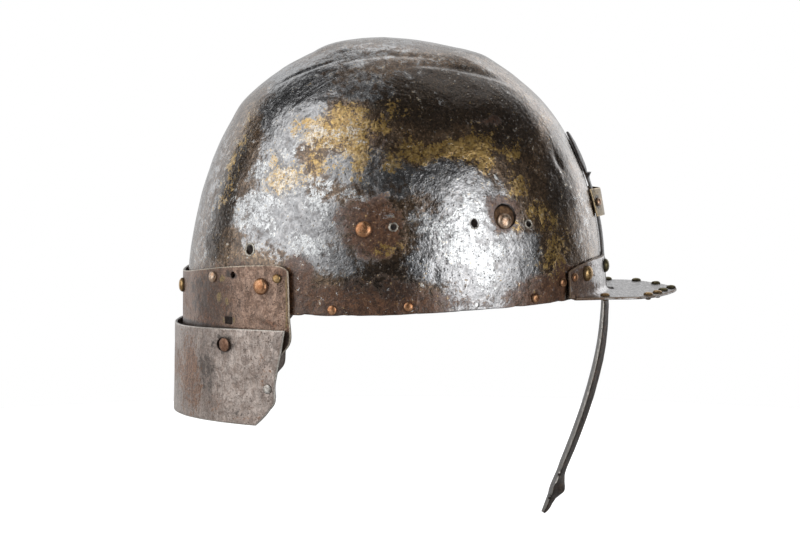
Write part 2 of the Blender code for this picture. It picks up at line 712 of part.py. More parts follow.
for rivet_name, sheets, side, y, z, head, rise, shank in RIVETS:
    seat, axis, depth = seat_of(sheets, side, y, z)
    if sheets == "plate":
        axis = np.array((0.0, 0.0, 1.0))
    gap = {"both": PIVOT_HEAD_GAP, "flange": FLANGE_HEAD_GAP}.get(sheets, HEAD_GAP)
    copper = not rivet_name.startswith(("peak", "staple", "flange"))
    build_rivet(rivet_name, seat, axis, depth, head, rise, shank, gap, copper)
    hole = shank / 2 + HOLE_PLAY
    body = peg(seat, axis, hole, hole, 1.5, depth + 2.0, 8, math.pi / 8)
    if sheets in ("skull", "upper", "flange", "staple") and rivet_name != "skull_rivet_r2":
        skull_cuts.append(body)
    if sheets in ("upper", "both"):
        upper_cuts.append(body)
    if sheets == "lower":
        lower_cuts.append(body)
    if sheets in ("flange", "plate"):
        peak_cuts.append(body)
    if sheets == "staple":
        staple_cuts.append(peg(seat, axis, hole, hole, 2.5, 2.6, 8, math.pi / 8))
    if sheets == "both":
        _, across, _ = frame_on(axis)
        back = across if across[1] > 0 else -across
        centre = seat + back * PIVOT_HOLE_BACK
        lower_cuts.append(peg(centre, axis, PIVOT_HOLE_RX, PIVOT_HOLE_RZ, 2.0, LAME_T + 1.2, 16))
    if rivet_name == "skull_rivet_r2":
        plug_cuts.append(body)

for side in (-1, 1):
    for y, z, r_along, r_up in SKULL_HOLES:
        p, n = skull_on(side, y, z)
        skull_cuts.append(peg(p, n, r_along, r_up, 2.0, SKULL_WALL + 2.0, 10))
    p, n = lame_on(UPPER_ROWS, side, SQUARE_HOLE_Y, SQUARE_HOLE_Z)
    corner = 1.0 / math.sqrt(2.0)
    upper_cuts.append(peg(p, n, SQUARE_HOLE_WIDE * corner, SQUARE_HOLE_TALL * corner, 2.0, LAME_T + 1.0, 4, math.pi / 4))
    p, n = lame_on(UPPER_ROWS, side, ROUND_HOLE_Y, ROUND_HOLE_Z)
    upper_cuts.append(peg(p, n, ROUND_HOLE_R, ROUND_HOLE_R, 2.0, LAME_T + 0.9, 8))

# the worn hole and its plug
p, n = skull_on(-1, PLUG_Y, PLUG_Z)
skull_cuts.append(peg(p, n, PLUG_HOLE_R, PLUG_HOLE_R, 2.5, SKULL_WALL + 2.5, 20))
_, across, upright = frame_on(n)
back = across if across[1] > 0 else -across
plug_centre = p + back * PLUG_SHIFT_Y + upright * PLUG_SHIFT_Z - n * 0.35
points, faces = turned([(0.0, 0.1), (PLUG_R - 0.4, 0.0), (PLUG_R, -0.3), (PLUG_R, -PLUG_T), (0.0, -PLUG_T)],
                       plug_centre, n, 20)
plug = add_object("skull_plug", points, faces, "skull_iron", 40.0)
face_out(plug)

# the notch through which the nasal bar passes the peak
peak_cuts.append(([(x, y, z) for z in (-4.0, 40.0) for x, y in
                   ((-SLOT_HALF, -104.0), (-SLOT_HALF, SLOT_FRONT_Y), (SLOT_HALF, SLOT_FRONT_Y), (SLOT_HALF, -104.0))],
                  [(0, 3, 2, 1), (4, 5, 6, 7), (0, 1, 5, 4), (1, 2, 6, 5), (2, 3, 7, 6), (3, 0, 4, 7)]))

for target, bodies, label in ((skull, skull_cuts, "skull"), (upper, upper_cuts, "upper"), (lower, lower_cuts, "lower"),
                              (peak, peak_cuts, "peak"), (staple, staple_cuts, "staple"), (plug, plug_cuts, "plug")):
    tool = cutter("cutter_" + label, bodies)
    face_out(tool)
    cut(target, tool)

# the moving pieces turn about their own joints
move_origin(nasal, (0.0, SLIDE_Y, SLIDE_Z))
move_origin(lower, (0.0, PIVOT_Y, PIVOT_Z))
lower_axis = bpy.data.objects.new("lower_lame_axis", None)
lower_axis.location = (0.0, PIVOT_Y * MM, PIVOT_Z * MM)
bpy.context.scene.collection.objects.link(lower_axis)
for moving in ("neck_lame_lower", "lame_rivet_r", "lame_rivet_l"):
    piece = bpy.data.objects[moving]
    piece.parent = lower_axis
    piece.location = piece.location - lower_axis.location
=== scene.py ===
import math

import bpy
import numpy as np
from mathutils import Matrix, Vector


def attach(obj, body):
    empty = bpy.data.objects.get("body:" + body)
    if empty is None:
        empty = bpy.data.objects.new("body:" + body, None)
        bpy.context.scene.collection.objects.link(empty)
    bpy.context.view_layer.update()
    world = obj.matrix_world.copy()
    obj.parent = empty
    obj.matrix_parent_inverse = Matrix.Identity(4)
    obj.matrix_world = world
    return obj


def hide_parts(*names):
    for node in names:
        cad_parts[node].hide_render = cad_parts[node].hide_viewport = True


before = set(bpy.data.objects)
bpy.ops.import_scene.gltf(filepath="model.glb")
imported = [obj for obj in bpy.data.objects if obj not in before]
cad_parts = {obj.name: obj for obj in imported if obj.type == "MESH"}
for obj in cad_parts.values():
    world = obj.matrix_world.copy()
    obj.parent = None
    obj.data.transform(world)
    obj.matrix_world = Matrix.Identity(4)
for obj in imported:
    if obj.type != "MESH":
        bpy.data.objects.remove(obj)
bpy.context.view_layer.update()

MM = 0.001

# =====================================================================
# sizes, in millimetres, as the construction has them
# =====================================================================
SKULL_WALL = 1.7
RIM_LOW, RIM_RISE = 0.6, 4.7
SKULL_SECTIONS = (
    # z      nape    brow   side
    (0.0, 110.2, -110.2, 96.0),
    (10.0, 110.2, -110.3, 96.1),
    (22.0, 109.8, -110.1, 96.0),
    (34.0, 108.2, -109.4, 95.0),
    (46.0, 105.9, -107.5, 93.4),
    (58.5, 102.9, -104.3, 91.0),
    (71.5, 98.7, -99.9, 87.5),
    (84.3, 93.9, -94.4, 83.0),
    (96.0, 87.7, -87.8, 77.4),
    (107.0, 80.9, -79.3, 70.8),
    (117.0, 69.9, -68.6, 61.8),
    (126.1, 57.0, -56.4, 50.8),
    (132.6, 45.2, -45.2, 40.0),
    (137.3, 35.4, -25.6, 28.4),
    (140.1, 21.1, -9.9, 14.5),
    (141.3, 6.0, 6.0, 0.0),
)
SKULL_HOLES = (
    # y      z     ry    rz   burr
    (75.5, 33.2, 2.3, 2.6, 1.3),
    (1.7, 46.7, 1.6, 1.6, 1.0),
    (-39.6, 48.1, 2.0, 2.4, 0.9),
    (-68.1, 46.7, 1.6, 1.6, 1.0),
    (-41.1, 6.5, 1.2, 1.2, 0.4),
)
PLUG_Y, PLUG_Z, PLUG_HOLE_R, PLUG_R, PLUG_T = -55.6, 51.2, 6.6, 5.5, 1.3
PLUG_SHIFT_Y, PLUG_SHIFT_Z = 0.55, -0.35

SLIDE_Y, SLIDE_Z, SLIDE_R = 118.6, 12.6, 229.4
BAR_STATIONS = (
    # angle  half   edge  ridge  lean
    (-20.3, 1.2, 1.0, 1.2, 0.0),
    (-19.9, 4.2, 1.1, 1.6, 0.0),
    (-19.0, 8.0, 1.1, 1.8, 0.0),
    (-18.0, 10.6, 1.1, 2.0, 0.0),
    (-16.8, 12.0, 1.2, 2.2, 0.0),
    (-15.7, 11.6, 1.2, 2.2, 0.0),
    (-14.9, 9.4, 1.2, 2.1, 0.0),
    (-14.3, 5.4, 1.0, 1.8, 0.0),
    (-13.6, 4.6, 0.8, 1.8, -1.9),
    (-12.4, 4.6, 0.8, 1.8, -1.7),
    (-11.0, 4.6, 0.8, 1.9, -1.1),
    (-9.0, 4.6, 0.8, 1.9, -0.6),
    (-6.0, 4.6, 0.8, 1.9, -0.15),
    (-3.0, 4.7, 0.8, 2.0, 0.0),
    (-1.0, 4.8, 0.9, 2.3, 0.0),
    (0.6, 4.9, 0.9, 2.7, 0.0),
    (2.0, 5.1, 1.1, 3.5, 0.3),
    (3.6, 5.2, 1.3, 4.1, 0.6),
    (6.0, 5.4, 1.4, 4.5, 0.7),
    (8.5, 5.6, 1.4, 4.8, 0.8),
    (11.0, 5.8, 1.5, 5.0, 0.7),
    (14.0, 6.0, 1.5, 5.0, 0.5),
    (17.0, 6.2, 1.5, 5.0, 0.4),
    (20.0, 6.4, 1.5, 4.9, 0.4),
    (23.0, 6.5, 1.5, 4.7, 0.7),
    (25.5, 6.3, 1.5, 4.5, 1.2),
    (26.8, 5.8, 1.5, 4.7, 1.8),
    (27.5, 7.4, 1.5, 5.6, 2.2),
    (28.2, 8.8, 1.5, 6.6, 2.6),
    (29.0, 9.0, 1.5, 6.9, 2.9),
    (29.7, 7.8, 1.5, 5.9, 3.3),
    (30.2, 4.8, 1.5, 4.7, 3.7),
    (30.9, 4.2, 1.5, 4.1, 4.2),
    (31.6, 3.6, 1.5, 3.7, 4.7),
    (32.2, 2.4, 1.5, 3.0, 5.1),
    (32.6, 1.0, 1.5, 2.2, 5.3),
)
LEAF_ABOVE, LEAF_GAP = -14.2, 0.4

STAPLE_LOW, STAPLE_HIGH, STAPLE_HALF, STAPLE_T = 46.2, 60.8, 13.8, 0.9
STAPLE_RIDGE_R, STAPLE_ROUND, STAPLE_RIVET_X = 232.55, 1.35, 9.5

PEAK_T, PEAK_Z, PEAK_BACK_Y, PEAK_BEND = 1.3, 6.9, -90.4, 3.2
FLANGE_TOP, FLANGE_END = 25.6, 20.2
FLANGE_GAP_HIGH, FLANGE_GAP_LOW = 0.5, 1.1
SLOT_HALF, SLOT_FRONT_Y = 6.7, -117.4
PEAK_OUTLINE = (
    # y       half
    (-89.5, 58.4),
    (-93.5, 56.4),
    (-98.0, 55.0),
    (-106.0, 53.6),
    (-114.0, 52.4),
    (-121.0, 51.0),
    (-127.0, 49.2),
    (-131.5, 46.4),
    (-135.5, 42.0),
    (-139.0, 36.2),
    (-142.6, 29.0),
    (-146.0, 21.0),
    (-148.8, 12.5),
    (-150.6, 5.0),
    (-151.0, 0.0),
)

LAME_T = 1.5
UPPER_ROWS = (
    # z     right  left   a      b     dip
    (26.3, 61.5, 61.5, 113.1, 99.1, 8.8),
    (25.6, 58.3, 58.3, 113.1, 99.1, 8.6),
    (24.2, 56.1, 56.1, 113.1, 99.1, 8.3),
    (21.5, 55.3, 55.3, 113.1, 99.1, 7.7),
    (0.0, 54.8, 54.8, 113.1, 99.1, 3.6),
    (-12.5, 54.4, 54.4, 113.1, 99.1, 1.4),
    (-20.0, 59.4, 59.4, 113.1, 99.1, 0.0),
)
UPPER_DIP_POWER = 2.2
LOWER_ROWS = (
    # z     right  left   a      b     dip
    (-6.6, 57.2, 57.0, 117.4, 101.6, 3.0),
    (-16.0, 58.8, 58.2, 117.6, 101.7, 2.6),
    (-26.0, 60.7, 59.2, 117.8, 101.9, 2.2),
    (-35.0, 62.4, 60.4, 118.0, 102.0, 1.8),
    (-43.5, 62.4, 61.2, 118.2, 102.2, 1.3),
    (-48.0, 65.3, 64.6, 118.3, 102.3, 1.0),
    (-52.0, 68.4, 68.0, 118.4, 102.3, 0.7),
    (-56.3, 72.6, 72.6, 118.5, 102.4, 0.5),
)
LOWER_DIP_POWER = 2.0
PIVOT_Y, PIVOT_Z = 88.0, -15.9
PIVOT_HOLE_BACK, PIVOT_HOLE_RX, PIVOT_HOLE_RZ = 1.7, 5.2, 3.6
SQUARE_HOLE_Y, SQUARE_HOLE_Z = 86.5, -3.7
SQUARE_HOLE_WIDE, SQUARE_HOLE_TALL = 5.8, 4.0
ROUND_HOLE_Y, ROUND_HOLE_Z, ROUND_HOLE_R = 84.2, 20.0, 1.7

TAIL_GAP = 0.55
HEAD_GAPS = {"both": 0.8, "flange": 0.6}
RIVETS = (
    # name            sheets    x      y       z     head  rise  shank  paint
    ("skull_rivet_r1", "skull", -1, 16.8, 45.4, 8.6, 2.6, 3.0, "copper_bright"),
    ("skull_rivet_l1", "skull", 1, 16.8, 45.4, 8.6, 2.6, 3.0, "copper_bright"),
    ("skull_rivet_r2", "skull", -1, -54.9, 48.6, 8.4, 2.8, 2.6, "copper_pale"),
    ("skull_rivet_l2", "skull", 1, -54.9, 48.6, 8.4, 2.8, 3.0, "copper_pale"),
    ("rim_rivet_r1", "skull", -1, 32.8, 4.3, 5.0, 1.4, 2.2, "copper_bright"),
    ("rim_rivet_l1", "skull", 1, 32.8, 4.3, 5.0, 1.4, 2.2, "copper_bright"),
    ("rim_rivet_r2", "skull", -1, -5.9, 6.4, 5.0, 1.4, 2.2, "copper_bright"),
    ("rim_rivet_l2", "skull", 1, -5.9, 6.4, 5.0, 1.4, 2.2, "copper_brown"),
    ("rim_rivet_r3", "skull", -1, -71.4, 8.5, 5.0, 1.4, 2.2, "copper_brown"),
    ("rim_rivet_l3", "skull", 1, -71.4, 8.5, 5.0, 1.4, 2.2, "copper_brown"),
    ("rim_rivet_r4", "skull", -1, -86.2, 15.3, 5.0, 1.5, 2.2, "copper_brown"),
    ("rim_rivet_l4", "skull", 1, -86.2, 15.3, 5.0, 1.5, 2.2, "copper_brown"),
    ("nape_rivet_mid", "upper", -1, 112.1, 10.1, 7.4, 2.4, 3.0, "brass_gold"),
    ("nape_rivet_r1", "upper", -1, 94.6, 18.0, 6.2, 2.0, 2.4, "copper_pale"),
    ("nape_rivet_l1", "upper", 1, 94.6, 18.0, 6.2, 2.0, 2.4, "copper_brown"),
    ("nape_rivet_r2", "upper", -1, 69.2, 15.2, 8.6, 2.7, 3.0, "copper_bright"),
    ("nape_rivet_l2", "upper", 1, 69.2, 15.2, 8.6, 2.7, 3.0, "copper_bright"),
    ("nape_rivet_r3", "upper", -1, 61.0, 19.7, 4.8, 1.6, 2.2, "brass_gold"),
    ("nape_rivet_l3", "upper", 1, 61.0, 19.7, 4.8, 1.6, 2.2, "copper_brown"),
    ("lame_pivot_r", "both", -1, PIVOT_Y, PIVOT_Z, 7.3, 1.0, 3.0, "copper_dull"),
    ("lame_pivot_l", "both", 1, PIVOT_Y, PIVOT_Z, 7.3, 1.0, 3.0, "copper_dull"),
    ("lame_rivet_r", "lower", -1, 66.0, -37.0, 5.0, 0.9, 2.2, "iron_pale"),
    ("lame_rivet_l", "lower", 1, 66.0, -37.0, 5.0, 0.9, 2.2, "iron_pale"),
    ("flange_rivet_r1", "flange", -1, -92.4, 17.6, 4.8, 1.6, 2.2, "copper_brown"),
    ("flange_rivet_l1", "flange", 1, -92.4, 17.6, 4.8, 1.6, 2.2, "copper_brown"),
    ("flange_rivet_r2", "flange", -1, -99.6, 18.7, 8.2, 2.6, 3.0, "brass_gold"),
    ("flange_rivet_l2", "flange", 1, -99.6, 18.7, 8.2, 2.6, 3.0, "brass_gold"),
    ("flange_rivet_r3", "flange", -1, -111.2, 20.0, 7.6, 2.3, 2.6, "brass_olive"),
    ("flange_rivet_l3", "flange", 1, -111.2, 20.0, 7.6, 2.3, 2.6, "brass_olive"),
    ("peak_rivet_r1", "plate", -46.8, -109.2, 0, 5.2, 1.6, 2.2, "brass_gold"),
    ("peak_rivet_r2", "plate", -41.4, -132.2, 0, 5.2, 1.6, 2.2, "brass_gold"),
    ("peak_rivet_r3", "plate", -30.8, -138.0, 0, 5.2, 1.6, 2.2, "brass_gold"),
    ("peak_rivet_r4", "plate", -17.4, -142.2, 0, 5.2, 1.6, 2.2, "brass_olive"),
    ("peak_rivet_tip", "plate", -3.0, -147.8, 0, 5.2, 1.6, 2.2, "brass_olive"),
    ("peak_rivet_l1", "plate", 47.4, -117.4, 0, 5.2, 1.6, 2.2, "brass_olive"),
    ("peak_rivet_l2", "plate", 40.0, -132.8, 0, 5.2, 1.6, 2.2, "brass_olive"),
    ("peak_rivet_l3", "plate", 21.5, -141.8, 0, 5.2, 1.6, 2.2, "brass_olive"),
    ("staple_rivet_r", "staple", -1, 0.0, 53.6, 4.6, 1.7, 2.2, "copper_pale"),
    ("staple_rivet_l", "staple", 1, 0.0, 53.6, 4.6, 1.7, 2.2, "copper_pale"),
)

# =====================================================================
# wear on the skull, charted by place on its sides: along (y) and up (z)
# =====================================================================
WEAR = (
    # kind     y      z     half_y half_z turn  strength
    # bare tinned iron, bright
    ("silver", 71.5, 57.5, 12.0, 4.0, -4, 1.00),
    ("silver", 80.0, 49.5, 4.5, 6.0, 0, 0.85),
    ("silver", 71.0, 49.5, 5.0, 6.5, 25, 0.95),
    ("silver", 64.5, 47.0, 3.5, 6.5, 0, 0.75),
    ("silver", 41.5, 60.0, 4.0, 9.0, -18, 0.95),
    ("silver", 36.5, 67.0, 6.0, 4.5, 0, 0.85),
    ("silver", 50.0, 39.5, 6.0, 3.5, 0, 0.85),
    ("silver", 42.5, 35.5, 11.0, 4.2, 0, 0.95),
    ("silver", 23.0, 63.5, 7.0, 3.0, 0, 0.75),
    ("silver", 6.0, 52.5, 4.0, 3.0, 0, 0.62),
    ("silver", 34.0, 47.5, 2.5, 3.0, 0, 0.62),
    ("silver", 71.0, 74.0, 4.0, 6.0, 0, 0.62),
    ("silver", 55.0, 68.0, 8.0, 7.0, 0, 0.66),
    ("silver", -38.7, 52.5, 5.0, 10.0, 0, 1.00),
    ("silver", -34.0, 45.0, 8.0, 8.5, 0, 0.92),
    ("silver", -25.5, 48.5, 9.0, 6.5, 0, 0.66),
    ("silver", -16.0, 44.0, 9.0, 6.0, 0, 0.56),
    ("silver", -36.5, 33.5, 9.0, 9.0, 0, 0.90),
    ("silver", -45.0, 31.5, 7.5, 8.0, 0, 0.86),
    ("silver", -46.5, 21.0, 6.0, 5.0, 0, 0.85),
    ("silver", -28.5, 38.5, 9.0, 8.0, 0, 0.66),
    ("silver", -52.5, 34.5, 5.0, 6.0, 0, 0.66),
    ("silver", -51.5, 16.5, 3.0, 2.0, 0, 0.70),
    ("silver", -48.5, 70.5, 2.5, 2.5, 0, 0.66),
    ("silver", -24.0, 109.0, 4.5, 2.5, 20, 0.55),
    # thin gilding
    ("silver", 41.0, 92.0, 11.0, 6.0, 0, 0.68),
    ("silver", 24.0, 90.0, 7.0, 6.0, 0, 0.60),
    ("silver", 52.0, 84.0, 9.0, 6.0, 0, 0.48),
    ("silver", 60.0, 72.0, 9.0, 7.0, 0, 0.62),
    ("gilt", 62.0, 68.0, 8.0, 7.0, 0, 0.66),
    ("gilt", 53.5, 71.0, 8.5, 6.5, 0, 0.66),
    ("gilt", 46.5, 97.5, 7.0, 4.5, 0, 0.70),
    ("gilt", 35.5, 98.0, 8.0, 4.0, 0, 0.70),
    ("gilt", 39.0, 91.0, 12.0, 4.8, 0, 0.76),
    ("gilt", 26.5, 101.5, 9.0, 6.0, 0, 0.82),
    ("gilt", 23.0, 91.0, 8.5, 8.0, 0, 0.86),
    ("gilt", 18.5, 81.0, 4.5, 9.0, 8, 0.90),
    ("gilt", 9.0, 96.5, 7.0, 4.0, 0, 0.75),
    ("gilt", -0.5, 105.0, 6.0, 5.0, 0, 0.56),
    ("gilt", 1.5, 80.5, 6.0, 5.0, 0, 0.68),
    ("gilt", -9.5, 86.5, 9.0, 4.5, 0, 0.70),
    ("gilt", -20.0, 83.5, 11.0, 5.0, 0, 0.78),
    ("gilt", -31.5, 86.5, 7.0, 5.0, 0, 0.78),
    ("gilt", -39.0, 87.0, 6.5, 7.0, 0, 0.98),
    ("gilt", -45.0, 79.5, 4.5, 7.5, -10, 0.92),
    ("gilt", -49.0, 90.0, 4.0, 3.0, 0, 0.62),
    ("gilt", -61.0, 84.0, 4.0, 5.5, 0, 0.78),
    ("gilt", -53.5, 84.5, 9.0, 2.2, 4, 0.62),
    ("gilt", 39.0, 78.0, 9.0, 6.5, 0, 0.60),
    ("gilt", 61.0, 76.0, 6.0, 9.0, 0, 0.58),
    ("gilt", -79.0, 46.5, 5.0, 5.0, 0, 0.62),
    ("gilt", -80.0, 29.0, 6.5, 7.5, 0, 0.68),
    ("gilt", -72.5, 53.0, 5.0, 4.0, 0, 0.62),
    ("gilt", -62.0, 65.0, 6.0, 6.5, 0, 0.64),
    ("gilt", -62.7, 45.0, 3.5, 3.0, 0, 0.66),
    ("gilt", -86.0, 32.0, 4.0, 9.0, 0, 0.58),
    ("gilt", 5.5, 37.0, 7.0, 3.0, 0, 0.62),
    ("gilt", 83.5, 76.0, 3.2, 22.0, 17, 0.50),
    # worn grey steel
    ("steel", 52.0, 101.0, 16.0, 13.0, 0, 1.10),
    ("steel", 61.0, 85.0, 9.0, 12.0, 0, 1.00),
    ("steel", 28.5, 77.0, 11.0, 9.0, 0, 0.85),
    ("steel", 6.0, 72.0, 18.0, 14.0, 0, 0.62),
    ("steel", 50.0, 116.0, 16.0, 10.0, 0, 1.00),
    ("steel", 20.0, 116.0, 20.0, 8.0, 0, 0.55),
    ("steel", -98.0, 46.0, 6.0, 34.0, 0, 0.34),
    ("steel", 97.0, 58.0, 8.0, 45.0, 14, 0.42),
    ("steel", 60.0, 70.0, 14.0, 14.0, 0, 1.00),
    ("steel", -42.0, 12.0, 17.0, 15.0, 0, 0.95),
    ("steel", 24.0, 131.0, 40.0, 7.0, -12, 0.55),
    ("steel", 54.0, 49.0, 27.0, 15.0, 0, 1.00),
    ("steel", 34.0, 31.0, 24.0, 9.0, 0, 0.66),
    ("steel", -24.0, 71.0, 20.0, 9.0, 0, 0.85),
    ("steel", -35.0, 41.0, 25.0, 20.0, 0, 1.00),
    ("steel", -61.0, 29.0, 14.0, 16.0, 0, 0.85),
    ("steel", -18.5, 30.0, 13.0, 11.0, 0, 0.80),
    ("steel", -43.0, 60.0, 18.0, 10.0, 0, 0.72),
    # red-brown rust
    ("rust", 12.0, 47.0, 15.0, 17.0, 0, 0.95),
    ("rust", 30.0, 50.0, 6.0, 9.0, 0, 0.50),
    ("rust", 49.0, 20.0, 7.0, 12.0, 0, 0.85),
    ("rust", -78.0, 14.0, 18.0, 8.0, 0, 0.90),
    ("rust", 0.0, 14.0, 14.0, 8.0, 0, 0.80),
    ("rust", 8.0, 89.5, 9.0, 9.0, 0, 0.45),
    ("rust", -51.0, 56.5, 8.0, 6.0, 0, 0.85),
    ("rust", -55.0, 51.0, 8.5, 8.5, 0, 0.80),
    ("rust", -86.5, 17.0, 4.0, 14.0, 0, 1.05),
    ("rust", 52.5, 12.0, 3.0, 15.0, 0, 0.95),
    ("rust", -50.0, 98.5, 5.0, 3.0, 0, 0.70),
    # this patch lies under the upper lame's round hole: rust-brown, and painted shade where the skull shows through the
    # hole
    ("rust", 84.0, 20.0, 14.0, 8.0, 0, 0.60),
    # blackened iron
    ("dark", -14.0, 110.0, 32.0, 14.0, 0, 0.90),
    ("dark", -53.0, 98.0, 18.0, 14.0, 0, 0.70),
    ("dark", -7.0, 24.0, 13.0, 9.0, 0, 0.90),
    ("dark", 9.0, 19.0, 19.0, 10.0, 0, 0.95),
    ("dark", -43.0, 113.0, 26.0, 11.0, 20, 0.90),
    ("dark", 6.0, 88.0, 7.0, 7.0, 0, 0.55),
    ("dark", 88.0, 58.0, 5.0, 34.0, 17, 1.10),
    ("dark", -85.0, 70.0, 9.0, 27.0, 0, 0.80),
    ("dark", -22.0, 117.0, 14.0, 8.0, 0, 0.80),
    ("dark", -66.0, 92.0, 8.0, 18.0, 30, 0.55),
)

DENTS = (
    # y      z    half_len half_wide turn  depth  sharp   (sharp: how steep the lower side is)
    (-33.0, 125.5, 20.0, 4.6, 17, 1.9, 0.35),
    (-12.0, 131.5, 12.0, 3.0, 10, 0.45, 0.5),
    (38.0, 118.0, 15.0, 2.4, -52, 0.8, 0.4),
    (14.0, 131.5, 20.0, 2.8, -14, 0.40, 0.4),
    (26.0, 124.0, 9.0, 2.0, -30, -0.5, 0.6),
    (44.5, 125.0, 16.0, 1.5, -41, 0.8, 0.6),
    (39.0, 120.5, 11.0, 1.3, -58, 0.7, 0.6),
    (21.0, 130.0, 9.0, 1.4, -21, 0.35, 0.6),
    (0.0, 134.5, 11.0, 1.6, 2, 0.35, 0.6),
    (47.0, 102.0, 5.5, 1.1, -42, 0.6, 1.0),
    (34.0, 112.0, 4.5, 1.1, -15, 0.5, 1.0),
    (-85.0, 76.5, 5.5, 2.8, 72, 1.0, 0.7),
    (-70.0, 96.0, 14.0, 6.0, 40, -0.35, 1.0),
    (-20.0, 60.0, 12.0, 5.0, 10, 0.25, 1.0),
    (60.0, 40.0, 10.0, 4.0, 80, 0.25, 1.0),
    (-43.5, 130.0, 7.0, 4.0, 40, 0.6, 1.0),
)


# =====================================================================
# helpers
# =====================================================================
def smooth(a, b, v):
    s = np.clip((v - a) / (b - a), 0.0, 1.0)
    return s * s * (3.0 - 2.0 * s)


def waves(points, size, seed):
    """Smooth noise of about -1 to 1 over points; size is the length of one wave."""
    n = 24
    grid = np.random.default_rng(seed).uniform(-1.0, 1.0, (n, n, n))
    q = np.asarray(points, float) / size + 211.37
    i = np.floor(q).astype(int)
    f = q - i
    f = f * f * f * (f * (f * 6 - 15) + 10)
    out = 0.0
    for dx in (0, 1):
        for dy in (0, 1):
            for dz in (0, 1):
                w = ((f[..., 0] if dx else 1 - f[..., 0]) * (f[..., 1] if dy else 1 - f[..., 1])
                     * (f[..., 2] if dz else 1 - f[..., 2]))
                out = out + w * grid[(i[..., 0] + dx) % n, (i[..., 1] + dy) % n, (i[..., 2] + dz) % n]
    return out


def column(table, key, col, value):
    rows = sorted(table, key=lambda r: r[key])
    return np.interp(value, [r[key] for r in rows], [r[col] for r in rows])


def flowing(table, steps):
    """The rows of a table with steps smooth rows from each to the next (Catmull-Rom)."""
    t = np.array(table, float)
    before, after = 2 * t[0] - t[1], 2 * t[-1] - t[-2]
    p = np.vstack((before, t, after))
    out = []
    for i in range(1, len(p) - 2):
        for s in np.arange(steps) / steps:
            a, b, c, d = p[i - 1], p[i], p[i + 1], p[i + 2]
            out.append(0.5 * (2 * b + (c - a) * s + (2 * a - 5 * b + 4 * c - d) * s * s + (3 * b - a - 3 * c + d) * s ** 3))
    out.append(p[-2])
    return np.array(out)


def mesh_object(name, points, faces, sharp=40.0):
    mesh = bpy.data.meshes.new(name)
    mesh.from_pydata((np.asarray(points, float) * MM).tolist(), [], faces)
    mesh.update()
    obj = bpy.data.objects.new(name, mesh)
    bpy.context.scene.collection.objects.link(obj)
    mesh.shade_smooth()
    if sharp:
        mesh.set_sharp_from_angle(angle=math.radians(sharp))
    return obj


def face_out(obj):
    import bmesh
    bm = bmesh.new()
    bm.from_mesh(obj.data)
    bmesh.ops.recalc_face_normals(bm, faces=bm.faces)
    if bm.calc_volume(signed=True) < 0:
        bmesh.ops.reverse_faces(bm, faces=bm.faces)
    bm.to_mesh(obj.data)
    bm.free()


def places(obj):
    co = np.empty(len(obj.data.vertices) * 3)
    obj.data.vertices.foreach_get("co", co)
    return co.reshape(-1, 3) / MM


def mark(obj, name, values):
    layer = obj.data.attributes.new(name, "FLOAT", "POINT")
    layer.data.foreach_set("value", np.asarray(values, np.float32))


def pierce(obj, bodies, sharp=40.0):
    """Cut closed bodies out of a mesh and keep the result as its mesh."""
    points, faces = [], []
    for p, f in bodies:
        base = len(points)
        points += [tuple(v) for v in p]
        faces += [tuple(i + base for i in g) for g in f]
    tool = mesh_object("tool_" + obj.name, points, faces, None)
    face_out(tool)
    mod = obj.modifiers.new("cut", "BOOLEAN")
    mod.operation, mod.object = "DIFFERENCE", tool
    for solver in ("MANIFOLD", "EXACT"):
        mod.solver = solver
        bpy.context.view_layer.update()
        ready = obj.evaluated_get(bpy.context.evaluated_depsgraph_get())
        if len(ready.data.vertices) > 0.9 * len(obj.data.vertices) and len(ready.data.vertices) != len(obj.data.vertices):
            break
    mesh = bpy.data.meshes.new_from_object(ready)
    obj.modifiers.clear()
    obj.data = mesh
    bpy.data.objects.remove(tool)
    mesh.materials.clear()
    mesh.polygons.foreach_set("material_index", np.zeros(len(mesh.polygons), np.int32))
    mesh.shade_smooth()
    mesh.set_sharp_from_angle(angle=math.radians(sharp))


def frame_on(normal):
    n = np.array(normal, float)
    n /= np.linalg.norm(n)
    up = np.array((0.0, 0.0, 1.0)) if abs(n[2]) < 0.9 else np.array((0.0, -1.0, 0.0))
    side = np.cross(up, n)
    side /= np.linalg.norm(side)
    return n, side, np.cross(n, side)


def peg(centre, normal, r_side, r_up, above, below, sides=24, turn=0.0, ragged=0.0, seed=1):
    n, side, up = frame_on(normal)
    centre = np.array(centre, float)
    rng = np.random.default_rng(seed)
    bumps = 1.0 + ragged * rng.uniform(-1, 1, sides)
    points = []
    for height in (above, -below):
        for i in range(sides):
            a = turn + 2 * math.pi * i / sides
            points.append(tuple(centre + n * height + (side * r_side * math.cos(a) + up * r_up * math.sin(a)) * bumps[i]))
    faces = [tuple(range(sides)), tuple(range(2 * sides - 1, sides - 1, -1))]
    for i in range(sides):
        j = (i + 1) % sides
        faces.append((i, i + sides, j + sides, j))
    return points, faces


def turned(profile, centre, normal, sides, squash=(1.0, 1.0)):
    n, side, up = frame_on(normal)
    centre = np.array(centre, float)
    points, rings, faces = [], [], []
    for r, h in profile:
        if r < 1e-6:
            rings.append([len(points)])
            points.append(centre + n * h)
        else:
            start = len(points)
            for i in range(sides):
                a = 2 * math.pi * i / sides
                points.append(centre + n * h + side * r * squash[0] * math.cos(a) + up * r * squash[1] * math.sin(a))
            rings.append(list(range(start, start + sides)))
    for one, two in zip(rings, rings[1:]):
        for i in range(sides):
            j = (i + 1) % sides
            if len(one) == 1:
                faces.append((one[0], two[i], two[j]))
            elif len(two) == 1:
                faces.append((one[i], two[0], one[j]))
            else:
                faces.append((one[i], two[i], two[j], one[j]))
    return np.array(points), faces


